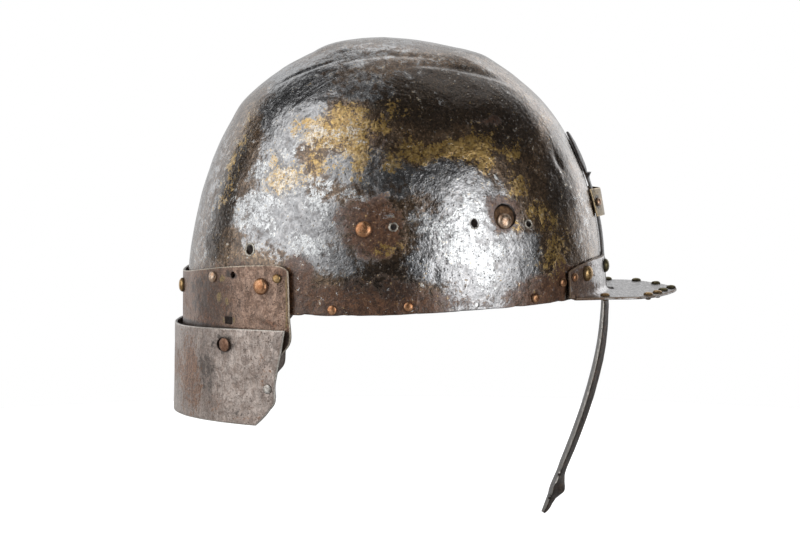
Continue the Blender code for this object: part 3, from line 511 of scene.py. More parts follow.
def resample(grid, rows, cols, edge):
    """The grid again with even spacing and two close rows along each edge, and how far each point is rounded off."""
    def along(lines, count):
        out = []
        for line in lines:
            d = np.concatenate(([0.0], np.cumsum(np.linalg.norm(np.diff(line, axis=0), axis=1))))
            length = d[-1]
            s = np.concatenate(([0.0, 0.3 * edge], np.linspace(edge, length - edge, count), [length - 0.3 * edge, length]))
            out.append(np.stack([np.interp(s, d, line[:, k]) for k in range(3)], axis=1))
        return np.array(out)

    g = along(np.transpose(grid, (1, 0, 2)), rows)
    g = along(np.transpose(g, (1, 0, 2)), cols)
    off_r = np.zeros(rows + 4)
    off_c = np.zeros(cols + 4)
    for off in (off_r, off_c):
        off[[0, -1]] = edge
        off[[1, -2]] = 0.3 * edge
    return g, np.minimum(edge, off_r[:, None] + off_c[None, :])


def normals_of(grid, ahead=None):
    n = np.cross(np.gradient(grid, axis=0), np.gradient(grid, axis=1))
    n /= np.maximum(np.linalg.norm(n, axis=2, keepdims=True), 1e-9)
    if ahead is not None and np.sum(n * ahead) < 0:
        n = -n
    return n


def sheet_faces(rows, cols):
    half = rows * cols
    faces = []
    for r in range(rows - 1):
        for c in range(cols - 1):
            a, b, d, e = r * cols + c, (r + 1) * cols + c, (r + 1) * cols + c + 1, r * cols + c + 1
            faces.append((a, b, d, e))
            faces.append((half + a, half + e, half + d, half + b))
    for c in range(cols - 1):
        a, b = c, c + 1
        faces.append((a, b, half + b, half + a))
        a, b = (rows - 1) * cols + c, (rows - 1) * cols + c + 1
        faces.append((b, a, half + a, half + b))
    for r in range(rows - 1):
        a, b = r * cols, (r + 1) * cols
        faces.append((b, a, half + a, half + b))
        a, b = r * cols + cols - 1, (r + 1) * cols + cols - 1
        faces.append((a, b, half + b, half + a))
    return faces


def sheet_object(name, outer, inner, sharp=40.0):
    rows, cols = outer.shape[:2]
    obj = mesh_object(name, np.concatenate((outer.reshape(-1, 3), inner.reshape(-1, 3))), sheet_faces(rows, cols), sharp)
    face_out(obj)
    return obj


def dress(obj, body, node, slot, *paints):
    for paint in paints:
        obj.data.materials.append(paint)
    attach(obj, body)
    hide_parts(*([node] if isinstance(node, str) else node))
    return obj


# =====================================================================
# paint
# =====================================================================
class Paint:
    """A node material built step by step.  Lengths in it are millimetres."""

    def __init__(self, name):
        self.mat = bpy.data.materials.new(name)
        self.mat.use_nodes = True
        self.tree = self.mat.node_tree
        self.shader = self.tree.nodes["Principled BSDF"]
        coord = self.tree.nodes.new("ShaderNodeTexCoord")
        self.place = self.vec("SCALE", coord.outputs["Object"], scale=1000.0)

    def put(self, socket, value):
        if isinstance(value, bpy.types.NodeSocket):
            self.tree.links.new(value, socket)
        elif value is not None:
            socket.default_value = value

    def vec(self, op, a, b=None, scale=None):
        n = self.tree.nodes.new("ShaderNodeVectorMath")
        n.operation = op
        self.put(n.inputs[0], a)
        if b is not None:
            self.put(n.inputs[1], b)
        if scale is not None:
            n.inputs["Scale"].default_value = scale
        return n.outputs["Vector"]

    def math(self, op, a, b=None, c=None, clamp=False):
        n = self.tree.nodes.new("ShaderNodeMath")
        n.operation, n.use_clamp = op, clamp
        for i, v in enumerate((a, b, c)):
            if v is not None:
                self.put(n.inputs[i], v)
        return n.outputs[0]

    def add(self, a, b):
        return self.math("ADD", a, b)

    def times(self, a, b):
        return self.math("MULTIPLY", a, b)

    def ramp(self, value, low, high, to_low=0.0, to_high=1.0):
        n = self.tree.nodes.new("ShaderNodeMapRange")
        n.interpolation_type = "SMOOTHSTEP"
        self.put(n.inputs["Value"], value)
        n.inputs["From Min"].default_value, n.inputs["From Max"].default_value = low, high
        n.inputs["To Min"].default_value, n.inputs["To Max"].default_value = to_low, to_high
        return n.outputs["Result"]

    def noise(self, wave, detail=4.0, rough=0.55, twist=0.0, stretch=None, shift=0.0):
        n = self.tree.nodes.new("ShaderNodeTexNoise")
        place = self.place if stretch is None else self.vec("MULTIPLY", self.place, stretch)
        if shift:
            place = self.vec("ADD", place, (shift, shift * 0.7, -shift * 0.4))
        self.put(n.inputs["Vector"], place)
        n.inputs["Scale"].default_value = 1.0 / wave
        n.inputs["Detail"].default_value = detail
        n.inputs["Roughness"].default_value = rough
        n.inputs["Distortion"].default_value = twist
        return n.outputs["Fac"]

    def cells(self, wave, feature="F1", spread=1.0, stretch=None, twist=None):
        n = self.tree.nodes.new("ShaderNodeTexVoronoi")
        n.feature = feature
        place = self.place if stretch is None else self.vec("MULTIPLY", self.place, stretch)
        if twist is not None:
            place = self.vec("ADD", place, self.vec("SCALE", twist, scale=wave))
        self.put(n.inputs["Vector"], place)
        n.inputs["Scale"].default_value = 1.0 / wave
        n.inputs["Randomness"].default_value = spread
        return n.outputs["Distance"]

    def jumble(self, wave):
        n = self.tree.nodes.new("ShaderNodeTexNoise")
        self.put(n.inputs["Vector"], self.place)
        n.inputs["Scale"].default_value = 1.0 / wave
        n.inputs["Detail"].default_value = 3.0
        return self.vec("SUBTRACT", n.outputs["Color"], (0.5, 0.5, 0.5))

    def attr(self, name):
        n = self.tree.nodes.new("ShaderNodeAttribute")
        n.attribute_name = name
        return n.outputs["Fac"]

    def mix(self, share, a, b):
        n = self.tree.nodes.new("ShaderNodeMix")
        n.data_type = "RGBA"
        self.put(n.inputs[0], share)
        self.put(n.inputs[6], (*a, 1.0) if isinstance(a, tuple) else a)
        self.put(n.inputs[7], (*b, 1.0) if isinstance(b, tuple) else b)
        return n.outputs[2]

    def blend(self, share, a, b):
        n = self.tree.nodes.new("ShaderNodeMix")
        n.data_type = "FLOAT"
        self.put(n.inputs[0], share)
        self.put(n.inputs[2], a)
        self.put(n.inputs[3], b)
        return n.outputs[0]

    def bump(self, height, depth, below=None, strength=1.0):
        n = self.tree.nodes.new("ShaderNodeBump")
        self.put(n.inputs["Height"], height)
        n.inputs["Distance"].default_value = depth * MM
        n.inputs["Strength"].default_value = strength
        if below is not None:
            self.put(n.inputs["Normal"], below)
        return n.outputs["Normal"]

    def shade(self, colour, factor):
        n = self.tree.nodes.new("ShaderNodeVectorMath")
        n.operation = "SCALE"
        self.put(n.inputs[0], colour)
        self.put(n.inputs["Scale"], factor)
        return n.outputs["Vector"]

    def spread(self, attribute, low, high, *pushes):
        """A charted patch broken up by noises: (noise, how far it moves the edge)."""
        field = self.attr(attribute)
        for grain, push in pushes:
            field = self.add(field, self.times(self.add(grain, -0.5), push))
        return self.ramp(field, low, high)

    def done(self, colour, metallic, roughness, normal=None, wax=0.0, wax_rough=0.2, wax_ior=1.6):
        self.put(self.shader.inputs["Base Color"], colour)
        self.put(self.shader.inputs["Metallic"], metallic)
        self.put(self.shader.inputs["Roughness"], roughness)
        if normal is not None:
            self.put(self.shader.inputs["Normal"], normal)
        if wax:
            self.shader.inputs["Coat Weight"].default_value = wax
            self.shader.inputs["Coat Roughness"].default_value = wax_rough
            self.shader.inputs["Coat IOR"].default_value = wax_ior
            if normal is not None:
                self.put(self.shader.inputs["Coat Normal"], normal)
        return self.mat


def skull_paint():
    p = Paint("skull_iron_aged")
    broad = p.noise(17.0, 5.0, 0.6)
    mid = p.noise(6.0, 5.0, 0.62, 0.8)
    flake = p.noise(2.6, 5.0, 0.78, 0.3, shift=31.0)
    fine = p.noise(1.3, 5.0, 0.75, shift=47.0)
    grit = p.noise(0.7, 3.0, 0.7, shift=57.0)
    scores = p.noise(2.6, 3.0, 0.6, stretch=(1.0, 0.055, 1.0), shift=11.0)
    uprights = p.noise(2.3, 3.0, 0.6, stretch=(1.0, 1.0, 0.06), shift=71.0)
    streaks = p.noise(3.4, 5.0, 0.7, stretch=(1.0, 1.0, 0.25), shift=23.0)
    slants = p.noise(2.2, 4.0, 0.7, stretch=(1.0, 0.45, 0.9), shift=83.0)

    # patina: black-brown to mid brown, strongly speckled
    patina = p.mix(p.ramp(mid, 0.34, 0.66), (0.074, 0.044, 0.025), (0.190, 0.120, 0.068))
    patina = p.mix(p.times(p.ramp(streaks, 0.48, 0.68), 0.50), patina, (0.270, 0.185, 0.118))
    # the dark mark: blackened iron, and along the back edge of the peak's flange a painted shadow line
    dark = p.spread("dark", 0.28, 0.70, (mid, 1.4), (flake, 0.8))
    patina = p.mix(p.times(dark, 0.82), patina, (0.040, 0.027, 0.018))
    patina = p.shade(patina, p.ramp(fine, 0.36, 0.66, 0.45, 1.90))

    steel = p.spread("steel", 0.26, 0.62, (mid, 1.5), (flake, 1.3), (grit, 0.6))
    tone = p.mix(p.ramp(p.add(p.times(mid, 0.55), p.times(flake, 0.45)), 0.36, 0.62), (0.185, 0.182, 0.184), (0.470, 0.478, 0.492))
    tone = p.shade(tone, p.ramp(fine, 0.36, 0.64, 0.78, 1.20))
    colour = p.mix(p.times(steel, 0.86), patina, tone)

    rust = p.spread("rust", 0.34, 0.66, (mid, 1.5), (flake, 1.2))
    rust_tone = p.mix(p.ramp(flake, 0.38, 0.64), (0.066, 0.027, 0.015), (0.205, 0.092, 0.045))
    rust_tone = p.mix(p.ramp(fine, 0.56, 0.68, 0.0, 0.7), rust_tone, (0.330, 0.180, 0.095))
    rust_tone = p.shade(rust_tone, p.times(p.ramp(grit, 0.36, 0.64, 0.62, 1.42), p.blend(dark, 1.0, 0.45)))
    colour = p.mix(p.times(rust, 0.86), colour, rust_tone)

    gilt = p.spread("gilt", 0.48, 0.60, (mid, 1.7), (flake, 2.9), (grit, 1.4))
    gilt_tone = p.mix(p.ramp(fine, 0.36, 0.66), (0.370, 0.205, 0.042), (0.860, 0.590, 0.215))
    silver = p.spread("silver", 0.53, 0.62, (mid, 2.0), (flake, 2.9), (slants, 1.8), (grit, 0.4))
    lattice = p.times(p.ramp(p.math("ABSOLUTE", p.add(scores, -0.5)), 0.008, 0.028),
                      p.ramp(p.math("ABSOLUTE", p.add(uprights, -0.5)), 0.007, 0.024))
    specks = p.ramp(fine, 0.37, 0.45)
    silver = p.times(silver, p.times(p.blend(lattice, 0.10, 1.0), p.blend(specks, 0.62, 1.0)))
    colour = p.mix(silver, colour, p.mix(p.ramp(flake, 0.36, 0.62), (0.420, 0.425, 0.434), (0.690, 0.692, 0.682)))
    gilded = p.times(gilt, p.blend(silver, p.ramp(flake, 0.40, 0.60, 0.55, 0.95), 0.30))
    colour = p.mix(gilded, colour, gilt_tone)
    # loose bright flecks all over the outside
    fleck = p.times(p.ramp(p.noise(1.0, 4.0, 0.8, shift=91.0), 0.61, 0.68), p.ramp(broad, 0.44, 0.60))
    colour = p.mix(p.times(fleck, 0.40), colour, (0.420, 0.370, 0.290))

    pits = p.ramp(p.cells(2.1, twist=p.jumble(3.0)), 0.05, 0.26)
    colour = p.mix(p.ramp(pits, 0.0, 0.9, 0.75, 0.0), colour, (0.026, 0.018, 0.013))

    inside = p.attr("inside")
    inner_tone = p.mix(p.ramp(mid, 0.38, 0.64), (0.030, 0.020, 0.015), (0.100, 0.062, 0.043))
    inner_tone = p.mix(p.ramp(broad, 0.50, 0.70, 0.0, 0.6), inner_tone, (0.120, 0.104, 0.092))
    inner_tone = p.shade(inner_tone, p.ramp(flake, 0.36, 0.64, 0.55, 1.60))
    colour = p.mix(inside, colour, inner_tone)

    rough = p.blend(steel, p.ramp(flake, 0.35, 0.65, 0.17, 0.32), p.ramp(flake, 0.35, 0.65, 0.16, 0.28))
    rough = p.blend(rust, rough, p.ramp(flake, 0.35, 0.65, 0.28, 0.50))
    rough = p.blend(silver, rough, 0.24)
    rough = p.blend(gilded, rough, 0.34)
    rough = p.blend(inside, rough, 0.60)
    metal = p.blend(steel, 0.74, 1.0)
    metal = p.blend(rust, metal, 0.40)
    metal = p.blend(p.math("MAXIMUM", silver, gilded), metal, 1.0)
    metal = p.blend(inside, metal, 0.40)

    normal = p.bump(broad, 0.85)
    normal = p.bump(mid, 0.28, normal)
    normal = p.bump(p.add(p.times(flake, 0.55), p.times(rust, flake)), 0.085, normal)
    normal = p.bump(p.add(p.times(pits, 1.0), p.add(p.times(silver, 0.22), p.times(fine, 0.16))), 0.085, normal)
    return p.done(colour, metal, rough, normal, 0.55, 0.12, 1.8)


def sheet_iron(name, low, high, dark_tone, rust_tone, edge_tone, rough=(0.34, 0.50), metal=0.80, scratch=(1.0, 0.3, 0.2),
               pit=0.14, score=0.05, rusty=0.8, speck=(0.55, 1.65), wax=0.3, edge_metal=None, edge_rough=0.32):
    """Worn iron sheet: two brown-grey tones, pits, fine scores, rust where it is marked, and bright worn edges."""
    p = Paint(name)
    broad = p.noise(13.0, 5.0, 0.62)
    mid = p.noise(4.6, 6.0, 0.66, 0.7, shift=13.0)
    flake = p.noise(2.0, 5.0, 0.78, shift=29.0)
    fine = p.noise(1.0, 5.0, 0.75, shift=37.0)
    grit = p.noise(0.6, 3.0, 0.7, shift=61.0)
    scores = p.noise(1.3, 4.0, 0.7, stretch=scratch, shift=5.0)
    colour = p.mix(p.ramp(p.add(p.times(mid, 0.6), p.times(flake, 0.4)), 0.38, 0.62), low, high)
    # the dark mark mixes in dark_tone: dark iron, and on the lames and staple also painted shade round rivets and holes
    # and under the lower lame
    dark = p.spread("dark", 0.30, 0.66, (mid, 1.6), (flake, 1.4))
    colour = p.mix(p.times(dark, 0.90), colour, dark_tone)
    rust = p.spread("rust", 0.40, 0.66, (mid, 1.7), (flake, 1.7))
    colour = p.mix(p.times(rust, rusty), colour, p.mix(p.ramp(fine, 0.40, 0.62), rust_tone, tuple(2.0 * c for c in rust_tone)))
    colour = p.shade(colour, p.ramp(fine, 0.36, 0.64, *speck))
    colour = p.shade(colour, p.ramp(scores, 0.36, 0.64, 0.80, 1.22))
    fleck = p.ramp(p.noise(0.9, 4.0, 0.8, shift=87.0), 0.62, 0.70)
    colour = p.mix(p.times(fleck, 0.28), colour, edge_tone)
    pits = p.ramp(p.cells(1.5, twist=p.jumble(2.2)), 0.06, 0.34)
    pitted = p.ramp(broad, 0.38, 0.60, 0.20, 1.0)
    colour = p.mix(p.times(p.ramp(pits, 0.0, 0.9, 0.80, 0.0), pitted), colour, dark_tone)
    worn = p.spread("edge", 0.45, 0.85, (fine, 1.2))
    colour = p.mix(p.times(worn, 0.85), colour, edge_tone)
    brass = p.spread("brass", 0.48, 0.60, (fine, 1.2))
    colour = p.mix(p.times(brass, 0.9), colour, p.mix(p.ramp(fine, 0.36, 0.62), (0.150, 0.098, 0.040), (0.360, 0.258, 0.115)))
    r = p.blend(rust, p.ramp(fine, 0.35, 0.65, rough[0], rough[1]), 0.58)
    r = p.blend(worn, r, edge_rough)
    m = p.blend(dark, p.blend(rust, metal, 0.40), 0.35)
    if edge_metal is not None:
        m = p.blend(worn, m, edge_metal)
    normal = p.bump(broad, 0.50)
    normal = p.bump(mid, 0.24, normal)
    normal = p.bump(p.times(pits, pitted), pit, normal)
    normal = p.bump(p.add(flake, p.times(grit, 0.2)), 0.06, normal)
    normal = p.bump(scores, score, normal)
    return p.done(colour, m, r, normal, wax, 0.28)


def rivet_paint(name, low, high, dirt, rough=0.28):
    p = Paint(name)
    mid = p.noise(2.2, 4.0, 0.65)
    fine = p.noise(0.7, 4.0, 0.7, shift=21.0)
    colour = p.mix(p.ramp(mid, 0.36, 0.66), low, high)
    edge = p.ramp(p.add(p.attr("edge"), p.times(p.add(fine, -0.5), 0.7)), 0.40, 0.95)
    colour = p.mix(p.times(edge, 0.85), colour, dirt)
    spot = p.ramp(p.noise(1.3, 3.0, 0.6, shift=43.0), 0.60, 0.70)
    colour = p.mix(p.times(spot, 0.7), colour, dirt)
    normal = p.bump(mid, 0.22)
    normal = p.bump(fine, 0.06, normal)
    return p.done(colour, p.blend(edge, 0.95, 0.5), p.blend(edge, p.ramp(fine, 0.3, 0.7, rough - 0.06, rough + 0.12), 0.62), normal)


def plug_paint():
    p = Paint("plug_rust")
    mid = p.noise(2.4, 5.0, 0.65)
    fine = p.noise(0.8, 4.0, 0.7, shift=15.0)
    colour = p.mix(p.ramp(mid, 0.35, 0.65), (0.072, 0.038, 0.021), (0.205, 0.115, 0.056))
    colour = p.mix(p.ramp(fine, 0.55, 0.70, 0.0, 0.6), colour, (0.042, 0.024, 0.016))
    normal = p.bump(p.add(mid, p.times(fine, 0.4)), 0.30)
    return p.done(colour, 0.70, p.ramp(fine, 0.3, 0.7, 0.38, 0.58), normal)


def burr_paint():
    p = Paint("hole_edge_bright")
    fine = p.noise(0.8, 4.0, 0.7)
    colour = p.mix(p.ramp(fine, 0.38, 0.62), (0.200, 0.165, 0.125), (0.680, 0.645, 0.570))
    return p.done(colour, 1.0, p.ramp(fine, 0.3, 0.7, 0.28, 0.45), p.bump(fine, 0.12))


# =====================================================================
# skull
# =====================================================================
def rim_height(y):
    return RIM_LOW + RIM_RISE * smooth(60.0, -105.0, y)


def section_at(z):
    z = min(max(float(z), 0.0), 140.1)
    nape, brow, side = (float(column(SKULL_SECTIONS, 0, k, z)) for k in (1, 2, 3))
    return (nape + brow) / 2, (nape - brow) / 2, side


def skull_point(angle, z):
    mid, a, b = section_at(z)
    return np.array((b * math.sin(angle), mid + a * math.cos(angle), z))


def skull_normal(angle, z):
    low, high = max(z - 1.5, 0.0), max(z, 0.0) + 1.5
    n = np.cross(skull_point(angle, high) - skull_point(angle, low), skull_point(angle + 0.01, z) - skull_point(angle - 0.01, z))
    n /= np.linalg.norm(n)
    p = skull_point(angle, z)
    return -n if n[0] * p[0] + n[1] * (p[1] - section_at(z)[0]) + n[2] * 20 < 0 else n


def skull_on(side, y, z):
    mid, a, b = section_at(z)
    angle = math.acos(min(1.0, max(-1.0, (y - mid) / a))) * (1 if side >= 0 else -1)
    return skull_point(angle, z), skull_normal(angle, z)


RIM_NICKS = (
    # side  y     half  depth
    (-1, 45.5, 2.6, 0.9),
    (-1, 40.5, 1.2, 0.5),
    (-1, 27.0, 2.0, 0.4),
    (-1, 22.5, 1.0, 0.5),
    (-1, -8.0, 1.6, 0.5),
    (-1, -34.0, 1.4, 0.5),
    (-1, -61.5, 1.8, 0.4),
    (-1, -84.0, 1.6, 0.6),
    (-1, -91.0, 1.8, 0.7),
    (1, 50.0, 2.2, 0.6),
    (1, 12.0, 1.5, 0.6),
    (1, -28.0, 2.5, 0.5),
    (1, -77.0, 1.5, 0.6),
)


def rim_wear(x, y):
    up = 0.22 * waves(np.stack([x, y, 0 * x], -1), 9.0, 5) + 0.13 * waves(np.stack([x, y, 0 * x], -1), 3.0, 6)
    up = np.maximum(up, -0.15) + 0.1
    for side, at, half, depth in RIM_NICKS:
        up = up + depth * np.exp(-((y - at) / half) ** 2) * (x * side > 0)
    return up


def skull_grid(steps, around, inside):
    rows = flowing(SKULL_SECTIONS, steps)
    # the crown closes smoothly: its last stretch is a flat cap
    rows = rows[:-1]
    angle = np.arange(around) * 2 * math.pi / around
    mid = (rows[:, 1] + rows[:, 2]) / 2
    a = np.maximum((rows[:, 1] - rows[:, 2]) / 2, 0.05)
    b = np.maximum(rows[:, 3], 0.05)
    z = rows[:, 0]
    x = b[:, None] * np.sin(angle)
    y = mid[:, None] + a[:, None] * np.cos(angle)
    zz = np.repeat(z[:, None], around, axis=1)
    low = zz < 10.0
    rim = rim_height(y)
    zz = np.where(low, rim + (10.0 - rim) * np.clip(zz / 10.0, 0, 1), zz)
    return np.stack([x, y, zz], -1)


def wrap_normals(grid):
    up = np.gradient(grid, axis=0)
    turn = np.roll(grid, -1, axis=1) - np.roll(grid, 1, axis=1)
    n = np.cross(turn, up)
    n /= np.maximum(np.linalg.norm(n, axis=2, keepdims=True), 1e-9)
    middle = grid.mean(axis=1, keepdims=True) * np.array((1, 1, 0)) + np.array((0, 0, 20.0))
    return np.where((np.sum(n * (grid - middle), axis=2, keepdims=True) < 0), -n, n)


def dented(points):
    """How far the skull's surface lies inwards of its smooth form."""
    x, y, z = points[..., 0], points[..., 1], points[..., 2]
    depth = 0.20 * waves(points, 24.0, 1) + 0.13 * waves(points, 11.0, 2) + 0.05 * waves(points, 5.0, 3) + 0.28
    crown = smooth(108.0, 130.0, z)
    long_way = points * np.array((1.0, 0.35, 1.0))
    depth = depth + crown * (0.26 * waves(long_way, 7.5, 4) + 0.07 * waves(long_way, 3.6, 8))
    for at_y, at_z, half_len, half_wide, turn, deep, sharp in DENTS:
        for side in (-1, 1):
            cy, cz, k = (at_y, at_z, 1.0) if side < 0 else (-at_y * 0.9 + 9.0, at_z - 6.0, 0.8)
            p, n = skull_on(side, cy, cz)
            _, across, up = frame_on(n)
            if across[1] < 0:
                across = -across
            c, s = math.cos(math.radians(turn)), math.sin(math.radians(turn))
            d = points - p
            u = d @ (across * c + up * s)
            v = d @ (up * c - across * s)
            w = d @ n
            wide = np.where(v > 0, half_wide, half_wide * sharp)
            depth = depth + k * deep * np.exp(-(u / half_len) ** 2 - (v / wide) ** 2 - (w / 14.0) ** 2)
    return depth * smooth(0.0, 6.0, z) * 0.9 + 0.03


def build_skull():
    outer = skull_grid(10, 384, False)
    n_out = wrap_normals(outer)
    worn = outer - n_out * dented(outer)[..., None]
    fade = np.clip(1.0 - (outer[..., 2] - rim_height(outer[..., 1])) / 5.0, 0, 1)
    worn[..., 2] += rim_wear(outer[..., 0], outer[..., 1]) * fade
    # the rim's rounded edge
    first, second = worn[0].copy(), worn[0].copy()
    n0 = n_out[0]
    first -= n0 * 0.45
    second -= n0 * 0.13
    second[:, 2] += 0.13
    worn[0, :, 2] += 0.45
    worn = np.concatenate((first[None], second[None], worn))
    inner = skull_grid(3, 128, True)
    n_in = wrap_normals(inner)
    inside = inner - n_in * (SKULL_WALL + 0.22 + 0.18 * waves(inner, 14.0, 9))[..., None]
    fade = np.clip(1.0 - (inner[..., 2] - rim_height(inner[..., 1])) / 5.0, 0, 1)
    inside[..., 2] += rim_wear(inner[..., 0], inner[..., 1]) * fade
    lip = inside[0].copy()
    lip += n_in[0] * 0.4
    inside[0, :, 2] += 0.4
    inside = np.concatenate((lip[None], inside))
    ro, no = worn.shape[:2]
    ri, ni = inside.shape[:2]
    points = [worn.reshape(-1, 3), inside.reshape(-1, 3)]
    base = ro * no
    faces = []
    for r in range(ro - 1):
        for i in range(no):
            j = (i + 1) % no
            faces.append((r * no + i, r * no + j, (r + 1) * no + j, (r + 1) * no + i))
    for r in range(ri - 1):
        for i in range(ni):
            j = (i + 1) % ni
            faces.append((base + r * ni + i, base + (r + 1) * ni + i, base + (r + 1) * ni + j, base + r * ni + j))
    share = no // ni
    for i in range(ni):
        j = (i + 1) % ni
        chain = [(i * share + k) % no for k in range(share + 1)]
        faces.append(tuple(reversed(chain)) + (base + i, base + j))
    top_o = base + ri * ni
    points.append(np.array([worn[-1].mean(0) + (0, 0, 0.02), inside[-1].mean(0)]))
    for i in range(no):
        faces.append(((ro - 1) * no + i, (ro - 1) * no + (i + 1) % no, top_o))
    for i in range(ni):
        faces.append((base + (ri - 1) * ni + (i + 1) % ni, base + (ri - 1) * ni + i, top_o + 1))
    skull = mesh_object("skull_shell", np.concatenate(points), faces, 45.0)
    face_out(skull)
    holes = []
    for side in (-1, 1):
        for k, (y, z, ry, rz, _) in enumerate(SKULL_HOLES):
            p, n = skull_on(side, y, z)
            holes.append(peg(p, n, ry, rz, 3.0, SKULL_WALL + 3.0, 28, 0.0, 0.05, 40 + k + 10 * side))
    p, n = skull_on(-1, PLUG_Y, PLUG_Z)
    holes.append(peg(p, n, PLUG_HOLE_R, PLUG_HOLE_R, 3.0, SKULL_WALL + 3.0, 56, 0.0, 0.022, 77))
    pierce(skull, holes, 45.0)

    at = places(skull)
    mark(skull, "inside", inside_share(skull))
    fields = {k: np.zeros(len(at)) for k in ("silver", "gilt", "steel", "rust", "dark")}
    warp_y = 2.6 * waves(at, 10.0, 23) + 1.4 * waves(at, 4.5, 24)
    warp_z = 2.6 * waves(at, 10.0, 25) + 1.4 * waves(at, 4.5, 26)
    for side in (-1, 1):
        here = at[:, 0] * side > 0
        y, z = (at[:, 1], at[:, 2]) if side < 0 else (-at[:, 1] * 0.95 + 7.0, at[:, 2] + 4.0)
        y, z = y + warp_y, z + warp_z
        for kind, cy, cz, hy, hz, turn, strength in WEAR:
            c, s = math.cos(math.radians(turn)), math.sin(math.radians(turn))
            u = ((y - cy) * c + (z - cz) * s) / hy
            v = (-(y - cy) * s + (z - cz) * c) / hz
            blob = strength * np.exp(-0.69 * (u * u + v * v) ** 1.5)
            fields[kind] = np.where(here, np.maximum(fields[kind], blob) + 0.25 * np.minimum(fields[kind], blob), fields[kind])
    z = at[:, 2]
    fields["steel"] = np.maximum(fields["steel"], 0.26 * smooth(108.0, 130.0, z + 5 * waves(at, 16.0, 21)))
    bare = np.exp(-((at[:, 1] + 42.0) / 19.0) ** 4)
    fields["rust"] = np.maximum(fields["rust"], (0.78 - 0.42 * bare) * smooth(25.0, 10.0, z + 5 * waves(at, 13.0, 22)))
    fields["dark"] = np.maximum(fields["dark"], 0.45 * smooth(12.0, 3.0, z))
    # a painted shadow line on the skull along the back edge of the peak's flange, with the rust there kept off it
    flange_shadow_line = np.exp(-((at[:, 1] + 89.3) / 1.5) ** 4) * smooth(22.0, 19.5, z)
    fields["dark"] = np.maximum(fields["dark"], 1.15 * flange_shadow_line)
    fields["rust"] = np.maximum(fields["rust"], 0.95 * smooth(-79.0, -85.0, at[:, 1] + 2 * waves(at, 5.0, 27)) * smooth(27.0, 19.0, z)) * (1.0 - flange_shadow_line)
    for kind, values in fields.items():
        mark(skull, kind, np.minimum(values, 1.15))
    return skull


def inside_share(obj):
    """1 on faces that look into the hollow, by the point's own normal."""
    n = np.empty(len(obj.data.vertices) * 3)
    obj.data.vertices.foreach_get("normal", n)
    n = n.reshape(-1, 3)
    at = places(obj)
    out = at * np.array((1.0, 1.0, 0.9)) - np.array((0.0, 0.0, 25.0))
    out /= np.maximum(np.linalg.norm(out, axis=1, keepdims=True), 1e-6)
    return smooth(0.10, -0.25, np.sum(n * out, axis=1))


# =====================================================================
# lames, peak, bar, staple
# =====================================================================
def lame_grid(rows, power, steps, cols):
    table = flowing(rows, steps)
    u = np.linspace(-1, 1, cols)
    grid = []
    for z, right, left, a, b, dip in table:
        reach = np.where(u < 0, math.acos(right / a), math.acos(left / a))
        angle = reach * u
        y = a * np.cos(angle)
        drop = -dip * np.clip((y - 57.0) / 56.0, 0, None) ** power
        grid.append(np.stack([b * np.sin(angle), y, z + drop], -1))
    return np.array(grid)


def lame_on(rows, side, y, z, inset=0.0):
    a = float(column(rows, 0, 3, z)) - inset
    b = float(column(rows, 0, 4, z)) - inset
    angle = math.acos(min(1.0, y / a)) * (1 if side >= 0 else -1) if side else 0.0
    n = np.array((math.sin(angle) / b, math.cos(angle) / a, 0.0))
    return np.array((b * math.sin(angle), a * math.cos(angle), z)), n / np.linalg.norm(n)


def edge_distance(at, grid):
    """How far each point is from the edge of a sheet."""
    ring = np.concatenate((grid[0], grid[-1], grid[:, 0], grid[:, -1]))
    out = np.empty(len(at))
    for i in range(0, len(at), 4000):
        d = at[i:i + 4000, None, :] - ring[None]
        out[i:i + 4000] = np.sqrt((d * d).sum(-1).min(1))
    return out


def build_lame(name, rows, power, holes, seed, bow):
    g, off = resample(lame_grid(rows, power, 5, 121), 52, 230, 0.38)
    n = normals_of(g, g * np.array((1.0, 1.0, 0.0)))
    n[..., 2] *= 0.2
    n /= np.linalg.norm(n, axis=2, keepdims=True)
    wave = bow * (0.16 * waves(g, 17.0, seed) + 0.08 * waves(g, 7.0, seed + 1)) - 0.06
    outer = g + n * (wave - off)[..., None]
    inner = g + n * (wave - LAME_T + off)[..., None]
    # small wear along the edges
    obj = sheet_object(name, outer, inner, 50.0)
    pierce(obj, holes, 50.0)
    at = places(obj)
    mark(obj, "edge", np.exp(-(edge_distance(at, g) / 0.75) ** 2))
    return obj, at


def patch_field(at, patches, ragged=1.0):
    """Marks charted by place on either side: along, up, half sizes, strength."""
    out = np.zeros(len(at))
    along = at[:, 1] + ragged * (1.8 * waves(at, 8.0, 91) + 1.0 * waves(at, 3.0, 92))
    high = at[:, 2] + ragged * (2.4 * waves(at, 9.0, 93) + 1.2 * waves(at, 3.0, 94))
    for side, y, z, hy, hz, strength in patches:
        blob = strength * np.exp(-0.69 * (((along - y) / hy) ** 2 + ((high - z) / hz) ** 2) ** 1.5)
        out = np.maximum(out, np.where(at[:, 0] * side >= 0, blob, 0) if side else blob)
    return out


def flange_gap(z):
    return FLANGE_GAP_HIGH + (FLANGE_GAP_LOW - FLANGE_GAP_HIGH) * float(smooth(24.0, 10.0, z))


def flange_on(side, y, z):
    mid, a, b = section_at(z)
    off = flange_gap(z) + PEAK_T
    a, b = a + off, b + off
    angle = math.acos(max(-1.0, (y - mid) / a)) * (1 if side >= 0 else -1)
    n = np.array((math.sin(angle) / b, math.cos(angle) / a, 0.0))
    return np.array((b * math.sin(angle), mid + a * math.cos(angle), z)), n / np.linalg.norm(n)


def plate_edge(u):
    lengths = [0.0]
    for one, two in zip(PEAK_OUTLINE, PEAK_OUTLINE[1:]):
        lengths.append(lengths[-1] + math.hypot(two[0] - one[0], two[1] - one[1]))
    s = (1.0 - abs(u)) ** 0.92 * lengths[-1]
    y = float(np.interp(s, lengths, [r[0] for r in PEAK_OUTLINE]))
    half = float(np.interp(s, lengths, [r[1] for r in PEAK_OUTLINE]))
    return np.array((math.copysign(half, u) if u else 0.0, y))


